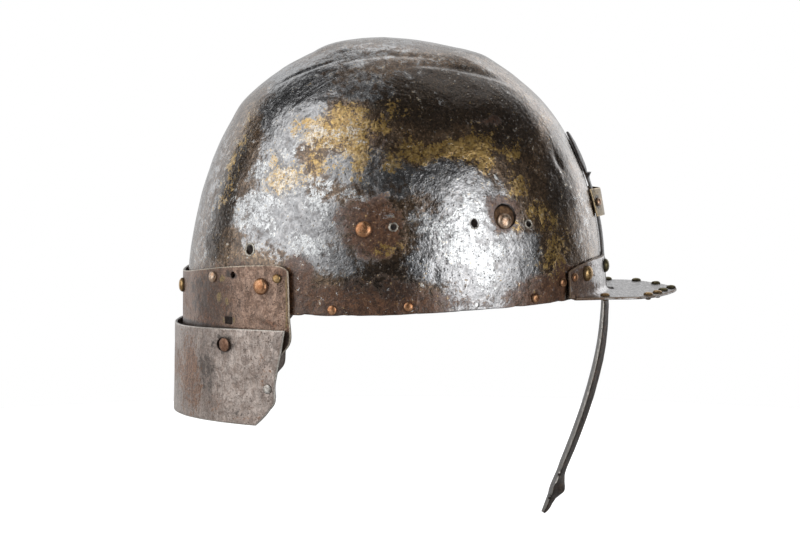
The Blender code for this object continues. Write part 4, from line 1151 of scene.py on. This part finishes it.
def peak_column(u):
    mid, a, b = section_at(12.0)
    off = flange_gap(12.0) + PEAK_T
    end = math.acos((PEAK_BACK_Y - mid) / (a + off))
    start = math.pi - (math.pi - end) * abs(u)
    angle = math.copysign(start, u) if u else math.pi
    top = FLANGE_END + (FLANGE_TOP - FLANGE_END) * min(1.0, ((1.0 - abs(u)) / 0.42)) ** 0.55
    points = []
    low = min(11.0, top - 3.6)
    for z in np.linspace(top, low, 7):
        m, sa, sb = section_at(z)
        o = flange_gap(z) + PEAK_T
        points.append(np.array(((sb + o) * math.sin(angle), m + (sa + o) * math.cos(angle), z)))
    foot = points[-1].copy()
    reach = plate_edge(u) - foot[:2]
    length = float(np.linalg.norm(reach))
    way = reach / length
    bend = min(PEAK_BEND, 0.62 * length, foot[2] - PEAK_Z)
    for a_deg in np.linspace(11.25, 90.0, 8):
        t = math.radians(a_deg)
        points.append(np.array((*(foot[:2] + way * bend * (1 - math.cos(t))), PEAK_Z + bend * (1 - math.sin(t)))))
    for f in np.linspace(0.15, 1.0, 8):
        points.append(np.array((*(foot[:2] + way * (bend + (length - bend) * f)), PEAK_Z)))
    return points


def build_peak():
    grid = np.array([peak_column(u) for u in np.linspace(-1, 1, 141)]).transpose(1, 0, 2)
    g, off = resample(grid, 44, 170, 0.32)
    n = normals_of(g)
    if n[-3, g.shape[1] // 2, 2] < 0:
        n = -n
    wave = 0.10 * waves(g, 15.0, 31) + 0.05 * waves(g, 6.0, 32) - 0.05
    wave = wave * smooth(9.5, 7.2, g[..., 2])
    outer = g + n * (wave - off)[..., None]
    inner = g + n * (wave - PEAK_T + off)[..., None]
    obj = sheet_object("peak_sheet", outer, inner, 50.0)
    slot = ([(x, y, z) for z in (-4.0, 40.0) for x, y in ((-SLOT_HALF, -104.0), (-SLOT_HALF, SLOT_FRONT_Y), (SLOT_HALF, SLOT_FRONT_Y), (SLOT_HALF, -104.0))],
            [(0, 3, 2, 1), (4, 5, 6, 7), (0, 1, 5, 4), (1, 2, 6, 5), (2, 3, 7, 6), (3, 0, 4, 7)])
    holes = [slot]
    for side in (-1, 1):
        holes.append(peg((side * 51.0, -101.0, PEAK_Z), (0, 0, 1), 0.9, 0.9, 2.0, 3.0, 18, 0, 0.08, 5 + side))
    pierce(obj, holes, 50.0)
    at = places(obj)
    mark(obj, "edge", np.exp(-(edge_distance(at, g) / 0.75) ** 2))
    rear = smooth(-110.0, -101.0, at[:, 1] + 1.8 * waves(at, 6.0, 33) - 0.30 * np.clip(at[:, 2] - 12.0, 0.0, 20.0))
    brown = 0.20 * smooth(7.6, 10.0, at[:, 2]) * (1.0 - rear) + rear
    under = smooth(6.3, 5.8, at[:, 2])
    rim = np.exp(-(edge_distance(at, g) / 0.9) ** 2)
    mark(obj, "rust", 0.82 * brown + 0.35 * under + 0.6 * rim * smooth(9.0, 8.0, at[:, 2]))
    mark(obj, "dark", 0.42 * brown + 0.60 * under)
    mark(obj, "brass", 0 * brown)
    return obj


def on_arc(x, angle, radius):
    a = np.radians(angle)
    return np.stack([x, SLIDE_Y - radius * np.cos(a), SLIDE_Z - radius * np.sin(a)], -1)


def skull_radius(x, angle):
    low, high = 180.0, 240.0
    for _ in range(30):
        r = (low + high) / 2
        _, y, z = on_arc(np.array(x), angle, r)
        mid, a, b = section_at(z)
        low, high = (r, high) if (x / b) ** 2 + ((y - mid) / a) ** 2 < 1.0 else (low, r)
    return (low + high) / 2


def build_nasal():
    table = flowing(BAR_STATIONS, 5)
    for k in (1, 2, 3, 4):                 # keep each smooth value between its neighbours
        raw = np.interp(table[:, 0], [r[0] for r in BAR_STATIONS], [r[k] for r in BAR_STATIONS])
        table[:, k] = 0.5 * table[:, k] + 0.5 * raw
    across = np.array([-1.0, -0.96, -0.82, -0.6, -0.4, -0.2, -0.07, 0.0, 0.07, 0.2, 0.4, 0.6, 0.82, 0.96, 1.0])
    outer, inner = [], []
    for angle, half, edge, ridge, lean in table:
        half = max(half, 0.6)
        x = half * across
        if angle < LEAF_ABOVE:
            back = np.array([skull_radius(v, angle) for v in x]) + LEAF_GAP
        else:
            back = np.full(len(x), SLIDE_R + lean)
            if angle < -9.0:
                back = np.minimum(back, np.array([skull_radius(v, angle) for v in x]) + LEAF_GAP + 0.2 * (angle + 14.2))
        rise = (ridge - edge) * (1.0 - np.sqrt(np.abs(across) ** 2 + 0.0016))
        front = np.maximum(back, SLIDE_R + lean if angle >= LEAF_ABOVE else 0.0) + edge + rise
        front[[0, -1]] -= 0.45
        front[[1, -2]] -= 0.12
        if 26.9 < angle < 30.2:             # the boss above the bar's tip
            boss = math.exp(-((angle - 28.7) / 0.62) ** 2)
            front = front + 0.8 * boss * np.exp(-(x / 3.6) ** 2) - 0.9 * boss * smooth(4.2, 6.4, np.abs(x))
        pts = on_arc(x, np.full(len(x), angle), front)
        bump = 0.10 * waves(pts, 6.0, 41) + 0.05 * waves(pts, 2.6, 42) - 0.10
        outer.append(on_arc(x, np.full(len(x), angle), front + bump))
        inner.append(on_arc(x, np.full(len(x), angle), back))
    obj = sheet_object("nasal_bar_iron", np.array(outer), np.array(inner), 38.0)
    at = places(obj)
    radius = np.hypot(at[:, 1] - SLIDE_Y, at[:, 2] - SLIDE_Z)
    angle = np.degrees(np.arctan2(SLIDE_Z - at[:, 2], SLIDE_Y - at[:, 1]))
    half = np.interp(angle, [r[0] for r in BAR_STATIONS], [r[1] for r in BAR_STATIONS])
    side = np.abs(at[:, 0]) / np.maximum(half, 0.5)
    mark(obj, "edge", smooth(0.965, 1.0, side) * smooth(-4.0, 4.0, angle) * 0.95)
    mark(obj, "rust", 0.40 + 0.15 * waves(at, 12.0, 43))
    mark(obj, "dark", 0.55 * smooth(2.0, -8.0, angle) + 0.25)
    mark(obj, "brass", 0 * radius)
    return obj


def staple_face(x, z, extra):
    mid, a, b = section_at(z)
    wall = mid - a * math.sqrt(1.0 - (STAPLE_HALF / b) ** 2) - 0.45
    ridge = SLIDE_Y - math.sqrt(STAPLE_RIDGE_R ** 2 - (z - SLIDE_Z) ** 2)
    f = (abs(x) / STAPLE_HALF) ** STAPLE_ROUND
    return wall * f + ridge * (1.0 - f) - extra


def staple_rivet_seat(side):
    x, z = side * STAPLE_RIVET_X, 53.6
    y = staple_face(x, z, STAPLE_T)
    n = np.array((staple_face(x + 0.5, z, 0.0) - staple_face(x - 0.5, z, 0.0), -1.0,
                  staple_face(x, z + 0.5, 0.0) - staple_face(x, z - 0.5, 0.0)))
    return np.array((x, y, z)), n / np.linalg.norm(n)


def build_staple():
    raw = np.array([[(x, staple_face(x, z, 0.0), z) for x in np.linspace(-STAPLE_HALF, STAPLE_HALF, 61)]
                    for z in np.linspace(STAPLE_HIGH, STAPLE_LOW, 15)])
    g, off = resample(raw, 16, 64, 0.22)
    ahead = np.array((0.0, -1.0, 0.0))
    wave = 0.05 * waves(g, 4.0, 51)
    outer = g + ahead * (STAPLE_T - off + wave)[..., None]
    inner = g + ahead * off[..., None]
    obj = sheet_object("nasal_staple_plate", outer, inner, 40.0)
    at = places(obj)
    mark(obj, "edge", 0.9 * np.exp(-(edge_distance(at, g + ahead * STAPLE_T) / 0.5) ** 2))
    # a dark ring round each rivet on the staple: painted shade
    p, _ = staple_rivet_seat(-1)
    near = np.minimum(np.hypot(at[:, 0] - p[0], at[:, 2] - p[2]), np.hypot(at[:, 0] + p[0], at[:, 2] - p[2]))
    mark(obj, "dark", np.exp(-(near / 3.7) ** 6) * 1.05)
    mark(obj, "rust", 0.30 + 0.2 * waves(at, 6.0, 52))
    mark(obj, "brass", 0 * near)
    return obj


# =====================================================================
# rivets
# =====================================================================
def seat_of(sheets, side, y, z):
    if sheets == "skull":
        p, n = skull_on(side, y, z)
        return p, n, SKULL_WALL
    if sheets == "upper":
        p, n = lame_on(UPPER_ROWS, side, y, z)
        q = skull_on(side, y - 3.0 * n[1], z)[0] if side else np.array((0.0, sum(section_at(z)[:2]), z))
        return p, n, float(np.dot(p - q, n)) + SKULL_WALL
    if sheets == "both":
        p, n = lame_on(LOWER_ROWS, side, y, z)
        q, _ = lame_on(UPPER_ROWS, side, y - 5.0 * n[1], z, LAME_T)
        return p, n, float(np.dot(p - q, n))
    if sheets == "lower":
        p, n = lame_on(LOWER_ROWS, side, y, z)
        return p, n, LAME_T
    if sheets == "flange":
        p, n = flange_on(side, y, z)
        return p, n, flange_gap(z) + PEAK_T + SKULL_WALL
    if sheets == "staple":
        p, n = staple_rivet_seat(side)
        mid, a, b = section_at(z)
        back = mid - a * math.sqrt(1.0 - (p[0] / b) ** 2)
        return p, n, (back - p[1] + SKULL_WALL) / abs(n[1]) + 0.8
    return np.array((side, y, PEAK_Z)), np.array((0.0, 0.0, 1.0)), PEAK_T


def build_rivet(index, name, p, n, depth, head, rise, shank, gap, loose):
    """A hand-hammered head, its shank and the peened tail inside."""
    rng = np.random.default_rng(100 + index)
    r, s = head / 2, shank / 2
    tail_r, tail_h = s + (0.7 if head > 7.0 else 0.45), (0.8 if head > 7.0 else 0.6)
    foot = 0.05 if not loose else gap * 0.85
    top = gap + rise
    profile = []
    for t in np.linspace(0.0, 1.0, 9):
        a = t * math.pi / 2
        profile.append((r * math.sin(a) ** 0.92, foot + 0.25 + (top - foot - 0.25) * math.cos(a) ** 0.85))
    profile[-1] = (r, foot + 0.25)
    profile += [(r * 0.985, foot + 0.08), (r * 0.93, foot), (s, foot), (s, -depth - TAIL_GAP + 0.35)]
    profile += [(tail_r * 0.9, -depth - TAIL_GAP + 0.25), (tail_r, -depth - TAIL_GAP), (tail_r * 0.8, -depth - TAIL_GAP - tail_h * 0.7),
                (tail_r * 0.4, -depth - TAIL_GAP - tail_h), (0.0, -depth - TAIL_GAP - tail_h)]
    sides = 32 if head > 6 else 24
    lop = 1.0 + rng.uniform(-0.045, 0.045, 2)
    points, faces = turned(profile, p, n, sides, lop)
    rel = points - p
    height = rel @ n
    up = height > foot + 0.02
    flat = rel - np.outer(height, n)
    out = np.linalg.norm(flat, axis=1)
    dents = waves(points, r * 0.9, 200 + index)
    points = points - np.outer(np.where(up, 0.10 + 0.10 * dents + 0.05 * (out < 0.5 * r), 0.0) * np.clip((height - foot) / rise, 0, 1), n)
    tilt = (flat @ frame_on(n)[1]) * rng.uniform(-0.05, 0.05)
    points = points - np.outer(np.where(up, np.abs(tilt), 0.0), n)
    obj = mesh_object(name + "_head", points, faces, 60.0)
    face_out(obj)
    mark(obj, "edge", np.where(height > foot - 0.01, smooth(0.78, 1.0, out / r) * 0.9, 1.0))
    return obj


# =====================================================================
# make everything
# =====================================================================
skull_mat = skull_paint()
upper_mat = sheet_iron("upper_lame_iron", (0.158, 0.090, 0.058), (0.390, 0.258, 0.190), (0.036, 0.021, 0.014), (0.120, 0.056, 0.030),
                       (0.620, 0.540, 0.420), (0.34, 0.50), 0.72, score=0.11, speck=(0.68, 1.42))
lower_mat = sheet_iron("lower_lame_iron", (0.255, 0.195, 0.162), (0.480, 0.405, 0.360), (0.060, 0.040, 0.028), (0.150, 0.070, 0.032),
                       (0.600, 0.560, 0.500), (0.34, 0.48), 0.80, pit=0.14, speck=(0.80, 1.25))
peak_mat = sheet_iron("peak_iron_satin", (0.390, 0.365, 0.355), (0.620, 0.600, 0.595), (0.060, 0.040, 0.028), (0.090, 0.050, 0.030),
                      (0.230, 0.155, 0.095), (0.27, 0.38), 0.95, scratch=(0.2, 1.0, 1.0), pit=0.04, score=0.05, rusty=0.90,
                      speck=(0.80, 1.22), wax=0.1, edge_metal=0.25, edge_rough=0.62)
bar_mat = sheet_iron("nasal_bar_dark_iron", (0.030, 0.021, 0.016), (0.085, 0.062, 0.048), (0.014, 0.010, 0.008), (0.070, 0.038, 0.024),
                     (0.480, 0.450, 0.410), (0.38, 0.55), 0.80, scratch=(1.0, 1.0, 0.2), rusty=0.5)
staple_mat = sheet_iron("staple_brown_brass", (0.185, 0.135, 0.075), (0.370, 0.280, 0.160), (0.045, 0.028, 0.018), (0.120, 0.072, 0.038),
                        (0.560, 0.420, 0.240), (0.36, 0.52), 0.85, pit=0.08, rusty=0.5)
RIVET_PAINTS = {
    "copper_bright": rivet_paint("copper_bright", (0.420, 0.185, 0.085), (0.720, 0.400, 0.220), (0.110, 0.055, 0.032)),
    "copper_pale": rivet_paint("copper_pale", (0.440, 0.270, 0.170), (0.720, 0.560, 0.430), (0.120, 0.066, 0.034)),
    "copper_brown": rivet_paint("copper_brown", (0.270, 0.125, 0.062), (0.540, 0.300, 0.160), (0.080, 0.042, 0.025)),
    "copper_dull": rivet_paint("copper_dull", (0.180, 0.092, 0.058), (0.340, 0.200, 0.135), (0.055, 0.032, 0.022), 0.46),
    "brass_gold": rivet_paint("brass_gold", (0.290, 0.165, 0.066), (0.640, 0.430, 0.205), (0.070, 0.044, 0.022)),
    "iron_pale": rivet_paint("iron_pale", (0.360, 0.320, 0.280), (0.680, 0.645, 0.600), (0.100, 0.070, 0.050)),
    "brass_olive": rivet_paint("brass_olive", (0.095, 0.078, 0.036), (0.240, 0.200, 0.100), (0.030, 0.024, 0.014), 0.40),
}

dress(build_skull(), "shell", "skull", "skull_iron", skull_mat)

# bright burred edges round the open holes
burr_mat = burr_paint()
ring_points, ring_faces = [], []
for side in (-1, 1):
    for k, (y, z, ry, rz, wide) in enumerate(SKULL_HOLES):
        p, n = skull_on(side, y, z)
        sides, sect = 28, 8
        _, across, up = frame_on(n)
        rng = np.random.default_rng(300 + k + 20 * side)
        base = len(ring_points)
        bumps = 1 + 0.18 * rng.uniform(-1, 1, sides)
        for i in range(sides):
            a = 2 * math.pi * i / sides
            way = across * math.cos(a) + up * math.sin(a)
            for j in range(sect):
                t = 2 * math.pi * j / sect
                out = 0.5 * wide * bumps[i] * (0.92 + math.cos(t))
                rise = (0.16 + 0.16 * wide * bumps[i]) * math.sin(t) - 0.42
                centre = across * math.cos(a) * ry + up * math.sin(a) * rz
                ring_points.append(p + centre + way * out + n * rise)
        for i in range(sides):
            for j in range(sect):
                a, b = base + i * sect + j, base + i * sect + (j + 1) % sect
                c, d = base + ((i + 1) % sides) * sect + (j + 1) % sect, base + ((i + 1) % sides) * sect + j
                ring_faces.append((a, b, c, d))
burrs = mesh_object("skull_hole_burrs", np.array(ring_points), ring_faces, 60.0)
face_out(burrs)
burrs.data.materials.append(burr_mat)
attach(burrs, "shell")

# plug in the worn hole
p, n = skull_on(-1, PLUG_Y, PLUG_Z)
_, across, upright = frame_on(n)
back = across if across[1] > 0 else -across
centre = p + back * PLUG_SHIFT_Y + upright * PLUG_SHIFT_Z - n * 0.30
wide = PLUG_R + 0.38
profile = [(0.0, 0.04)] + [(wide * f, 0.08 - 0.1 * f) for f in (0.2, 0.4, 0.6, 0.8, 0.93)]
profile += [(wide * 0.985, -0.10), (wide, -0.30), (wide, -PLUG_T), (0.0, -PLUG_T)]
points, faces = turned(profile, centre, n, 56)
points = points + np.outer(0.12 * waves(points, 3.0, 61) + 0.05 * waves(points, 1.2, 62) - 0.05, n)
plug = mesh_object("skull_plug_disc", points, faces, 50.0)
face_out(plug)
dress(plug, "shell", "skull_plug", "skull_iron", plug_paint())

# upper lame
holes = []
for side in (-1, 1):
    p, n = lame_on(UPPER_ROWS, side, SQUARE_HOLE_Y, SQUARE_HOLE_Z)
    corner = 1.0 / math.sqrt(2)
    holes.append(peg(p, n, SQUARE_HOLE_WIDE * corner, SQUARE_HOLE_TALL * corner, 2.0, LAME_T + 1.0, 4, math.pi / 4))
    p, n = lame_on(UPPER_ROWS, side, ROUND_HOLE_Y, ROUND_HOLE_Z)
    holes.append(peg(p, n, ROUND_HOLE_R, ROUND_HOLE_R, 2.0, LAME_T + 0.9, 20, 0, 0.08, 9))
upper, at = build_lame("neck_lame_upper_sheet", UPPER_ROWS, UPPER_DIP_POWER, holes, 71, 1.0)
# rust is kept off the part below z -6, which carries painted shade where the lower lame covers this sheet
mark(upper, "rust", patch_field(at, (
    # side  y     z     hy    hz   strength
    (-1, 66.0, -4.0, 6.0, 2.0, 0.75), (-1, 92.0, 8.0, 10.0, 16.0, 0.45), (-1, 98.0, -6.0, 8.0, 8.0, 0.55),
    (-1, 54.6, 6.0, 1.0, 22.0, 0.95), (-1, 58.0, 22.0, 4.0, 3.0, 0.8), (1, 70.0, 2.0, 10.0, 10.0, 0.6), (1, 95.0, 10.0, 12.0, 8.0, 0.5),
    (0, 113.0, 0.0, 6.0, 12.0, 0.55), (0, 90.0, -16.0, 30.0, 4.0, 0.6))) * (1.0 - inside_share(upper)) * smooth(-9.5, -6.0, at[:, 2]))
# dark marks on the upper lame: dark iron in patches, painted shade in and round the round and square holes, a painted
# shade band below z -6 where the lower lame covers it, and the inside faces darker
mark(upper, "dark", patch_field(at, (
    (-1, 96.0, 6.0, 13.0, 20.0, 0.62), (-1, 84.2, 20.0, 3.2, 3.2, 0.7), (-1, 86.5, -3.7, 4.5, 4.0, 0.6),
    (1, 90.0, 0.0, 14.0, 12.0, 0.5), (0, 112.0, 14.0, 5.0, 8.0, 0.4))) + 1.1 * smooth(-6.0, -9.5, at[:, 2]) + 1.3 * inside_share(upper))
mark(upper, "brass", patch_field(at, (
    (-1, 89.6, 17.6, 1.9, 1.9, 0.90), (-1, 91.1, 8.2, 1.4, 3.2, 0.80), (-1, 87.4, 6.2, 1.1, 2.4, 0.80),
    (-1, 89.2, -3.6, 0.7, 1.8, 0.8), (-1, 83.7, -3.6, 0.7, 1.8, 0.85), (1, 88.0, 15.0, 1.5, 1.6, 0.8),
    (1, 84.0, -4.0, 0.8, 2.0, 0.8)), 0.25) + 0.85 * np.exp(-((at[:, 1] - 56.2) / 0.55) ** 4) * smooth(23.0, 20.0, at[:, 2]) * smooth(-8.0, -5.0, at[:, 2]))
dress(upper, "shell", "neck_lame_upper", "lame_iron", upper_mat)

# lower lame
holes = []
for side in (-1, 1):
    p, n = lame_on(LOWER_ROWS, side, PIVOT_Y, PIVOT_Z)
    _, across, _ = frame_on(n)
    back = across if across[1] > 0 else -across
    holes.append(peg(p + back * PIVOT_HOLE_BACK, n, PIVOT_HOLE_RX, PIVOT_HOLE_RZ, 2.0, LAME_T + 1.2, 36, 0, 0.03, 15))
lower, at = build_lame("neck_lame_lower_sheet", LOWER_ROWS, LOWER_DIP_POWER, holes, 81, 1.2)
mark(lower, "rust", patch_field(at, (
    (-1, 107.5, -32.0, 6.5, 24.0, 0.72), (-1, 105.0, -20.0, 4.0, 6.0, 0.5), (-1, 95.0, -48.0, 8.0, 5.0, 0.5), (-1, 68.0, -30.0, 2.5, 14.0, 0.42), (-1, 76.0, -53.0, 10.0, 2.5, 0.5),
    (1, 95.0, -30.0, 12.0, 12.0, 0.7), (1, 70.0, -20.0, 7.0, 7.0, 0.5), (0, 117.0, -30.0, 6.0, 14.0, 0.6))) * (1.0 - inside_share(lower)))
# dark marks on the lower lame: a painted shade ring round each pivot rivet, mottled dark iron elsewhere, and the inside
# faces darker
mark(lower, "dark", patch_field(at, (
    (-1, 88.0, -16.0, 6.5, 5.0, 0.6), (1, 88.0, -16.0, 6.5, 5.0, 0.6), (-1, 80.0, -50.0, 8.0, 4.0, 0.4),
    (-1, 98.5, -32.0, 4.5, 22.0, 0.52), (1, 98.0, -30.0, 6.0, 14.0, 0.5))) + 1.3 * inside_share(lower))
mark(lower, "brass", 0 * at[:, 0])
dress(lower, "lower_lame", "neck_lame_lower", "lame_iron", lower_mat)

dress(build_peak(), "shell", "peak", "peak_iron", peak_mat)
dress(build_nasal(), "nasal_bar", "nasal", "bar_iron", bar_mat)
dress(build_staple(), "shell", "nasal_staple", "staple_brass", staple_mat)

for index, (name, sheets, side, y, z, head, rise, shank, paint) in enumerate(RIVETS):
    p, n, depth = seat_of(sheets, side, y, z)
    gap = HEAD_GAPS.get(sheets, 0.25)
    obj = build_rivet(index, name, p, n, depth, head, rise, shank, gap, sheets == "both")
    body = "lower_lame" if name.startswith("lame_rivet") else "shell"
    dress(obj, body, name, "rivet_brass" if name.startswith(("peak", "staple", "flange")) else "rivet_copper", RIVET_PAINTS[paint])

# =====================================================================
# floor, light, camera
# =====================================================================
FLOOR_Z = -0.128
floor = mesh_object("studio_floor", [(600 * math.cos(a), 600 * math.sin(a), FLOOR_Z / MM) for a in np.linspace(0, 2 * math.pi, 97)[:-1]],
                    [tuple(range(96))], None)
floor_mat = Paint("pale_floor")
floor_mat.shader.inputs["Emission Color"].default_value = (1.0, 1.0, 1.0, 1.0)
seen_by = floor_mat.tree.nodes.new("ShaderNodeLightPath")
floor_mat.put(floor_mat.shader.inputs["Emission Strength"], floor_mat.blend(seen_by.outputs["Is Camera Ray"], 0.05, 0.90))
grain = floor_mat.noise(300.0, 2.0)
floor.data.materials.append(floor_mat.done(floor_mat.mix(grain, (0.62, 0.62, 0.62), (0.66, 0.66, 0.66)), 0.0, 0.9))

world = bpy.data.worlds.new("studio")
bpy.context.scene.world = world
world.use_nodes = True
wt = world.node_tree
wn = wt.nodes
wn.clear()


def wnode(kind, **sets):
    n = wn.new(kind)
    for k, v in sets.items():
        setattr(n, k, v)
    return n


def wrange(value, low, high, to_low, to_high):
    n = wnode("ShaderNodeMapRange", interpolation_type="SMOOTHSTEP")
    wt.links.new(value, n.inputs["Value"])
    for k, v in (("From Min", low), ("From Max", high), ("To Min", to_low), ("To Max", to_high)):
        n.inputs[k].default_value = v
    return n.outputs["Result"]


def wmath(op, a, b=None):
    n = wnode("ShaderNodeMath", operation=op)
    for i, v in enumerate((a, b)):
        if isinstance(v, bpy.types.NodeSocket):
            wt.links.new(v, n.inputs[i])
        elif v is not None:
            n.inputs[i].default_value = v
    return n.outputs[0]


def window(value, rise, full, still, gone):
    """0 up to rise, 1 from full to still, 0 from gone on; in degrees."""
    return wmath("MULTIPLY", wrange(value, rise, full, 0.0, 1.0), wrange(value, still, gone, 1.0, 0.0))


coord = wnode("ShaderNodeTexCoord")
split = wnode("ShaderNodeSeparateXYZ")
wt.links.new(coord.outputs["Generated"], split.inputs[0])
x, y, z = (split.outputs[k] for k in "XYZ")
turn = wmath("MULTIPLY", wmath("ARCTAN2", wmath("MULTIPLY", y, -1.0), wmath("MULTIPLY", x, -1.0)), 180.0 / math.pi)
tall = wmath("MULTIPLY", wmath("ARCSINE", z), 180.0 / math.pi)
# white walls behind and past the zenith, an open dark studio in front, and two soft panels in it
late = wmath("ADD", wrange(y, 0.0, 0.5, 0.0, 0.16), wrange(wmath("MULTIPLY", y, -1.0), 0.05, 0.55, 0.0, 0.20))
reach = wmath("SUBTRACT", x, wmath("ADD", wrange(z, 0.30, 0.75, 0.0, 0.34), late))
walls = wmath("MULTIPLY", wrange(reach, 0.20, 0.42, 0.0, 1.0), wrange(x, 0.74, 0.92, 1.0, 0.6))
panel_back = wmath("MULTIPLY", window(turn, -104.0, -96.0, -55.0, -8.0), window(tall, -12.0, 10.0, 52.0, 76.0))
panel_low = wmath("MULTIPLY", window(turn, -104.0, -96.0, -64.0, -44.0), wmath("MULTIPLY", wrange(tall, -34.0, -16.0, 0.0, 1.0), wrange(tall, -12.0, 10.0, 1.0, 0.0)))
panel_front = wmath("MULTIPLY", window(turn, 12.0, 31.0, 44.0, 80.0), window(tall, -26.0, -8.0, 14.0, 36.0))
panel_far = wmath("MULTIPLY", window(turn, 128.0, 138.0, 156.0, 170.0), window(tall, -10.0, 6.0, 30.0, 50.0))
strength = wmath("ADD", wmath("MULTIPLY", walls, 1.05), 0.05)
for panel, radiance in ((panel_back, 1.55), (panel_low, 1.40), (panel_front, 2.75), (panel_far, 0.8)):
    strength = wmath("ADD", strength, wmath("MULTIPLY", panel, radiance))
light = wnode("ShaderNodeBackground")
light.inputs["Color"].default_value = (0.97, 0.985, 1.0, 1.0)
wt.links.new(strength, light.inputs["Strength"])
seen = wnode("ShaderNodeBackground")
seen.inputs["Color"].default_value = (1.0, 1.0, 1.0, 1.0)
seen.inputs["Strength"].default_value = 1.0
ray = wnode("ShaderNodeLightPath")
pick = wnode("ShaderNodeMixShader")
wt.links.new(ray.outputs["Is Camera Ray"], pick.inputs[0])
wt.links.new(light.outputs[0], pick.inputs[1])
wt.links.new(seen.outputs[0], pick.inputs[2])
end = wnode("ShaderNodeOutputWorld")
wt.links.new(pick.outputs[0], end.inputs[0])

LAMPS = (
    # name        azimuth  height  away  wide  tall  watts
    ("soft_top", 70.0, 66.0, 1.60, 1.50, 1.20, 3.0),
)
for name, azimuth, height, away, wide, tall, watts in LAMPS:
    lamp = bpy.data.lights.new(name, "AREA")
    lamp.shape, lamp.size, lamp.size_y, lamp.energy = "RECTANGLE", wide, tall, watts
    obj = bpy.data.objects.new(name, lamp)
    bpy.context.scene.collection.objects.link(obj)
    a, e = math.radians(azimuth), math.radians(height)
    way = Vector((math.sin(a) * math.cos(e), -math.cos(a) * math.cos(e), math.sin(e)))
    obj.location = Vector((0.0, 0.0, 0.03)) + way * away
    obj.rotation_euler = (-way).to_track_quat("-Z", "Y").to_euler()

TARGET, AWAY, AZIMUTH, ELEVATION, LENS = Vector((0.0, -0.0029, 0.0182)), 1.8, -90.8, 5.0, 151.47
a, e = math.radians(AZIMUTH), math.radians(ELEVATION)
camera = bpy.data.objects.new("camera", bpy.data.cameras.new("camera"))
bpy.context.scene.collection.objects.link(camera)
camera.data.lens, camera.data.sensor_width = LENS, 36.0
camera.location = TARGET + AWAY * Vector((math.sin(a) * math.cos(e), -math.cos(a) * math.cos(e), math.sin(e)))
camera.rotation_mode = "QUATERNION"
camera.rotation_quaternion = (TARGET - camera.location).to_track_quat("-Z", "Y")
bpy.context.scene.camera = camera
bpy.context.scene.view_settings.view_transform = "Standard"

bpy.context.view_layer.update()
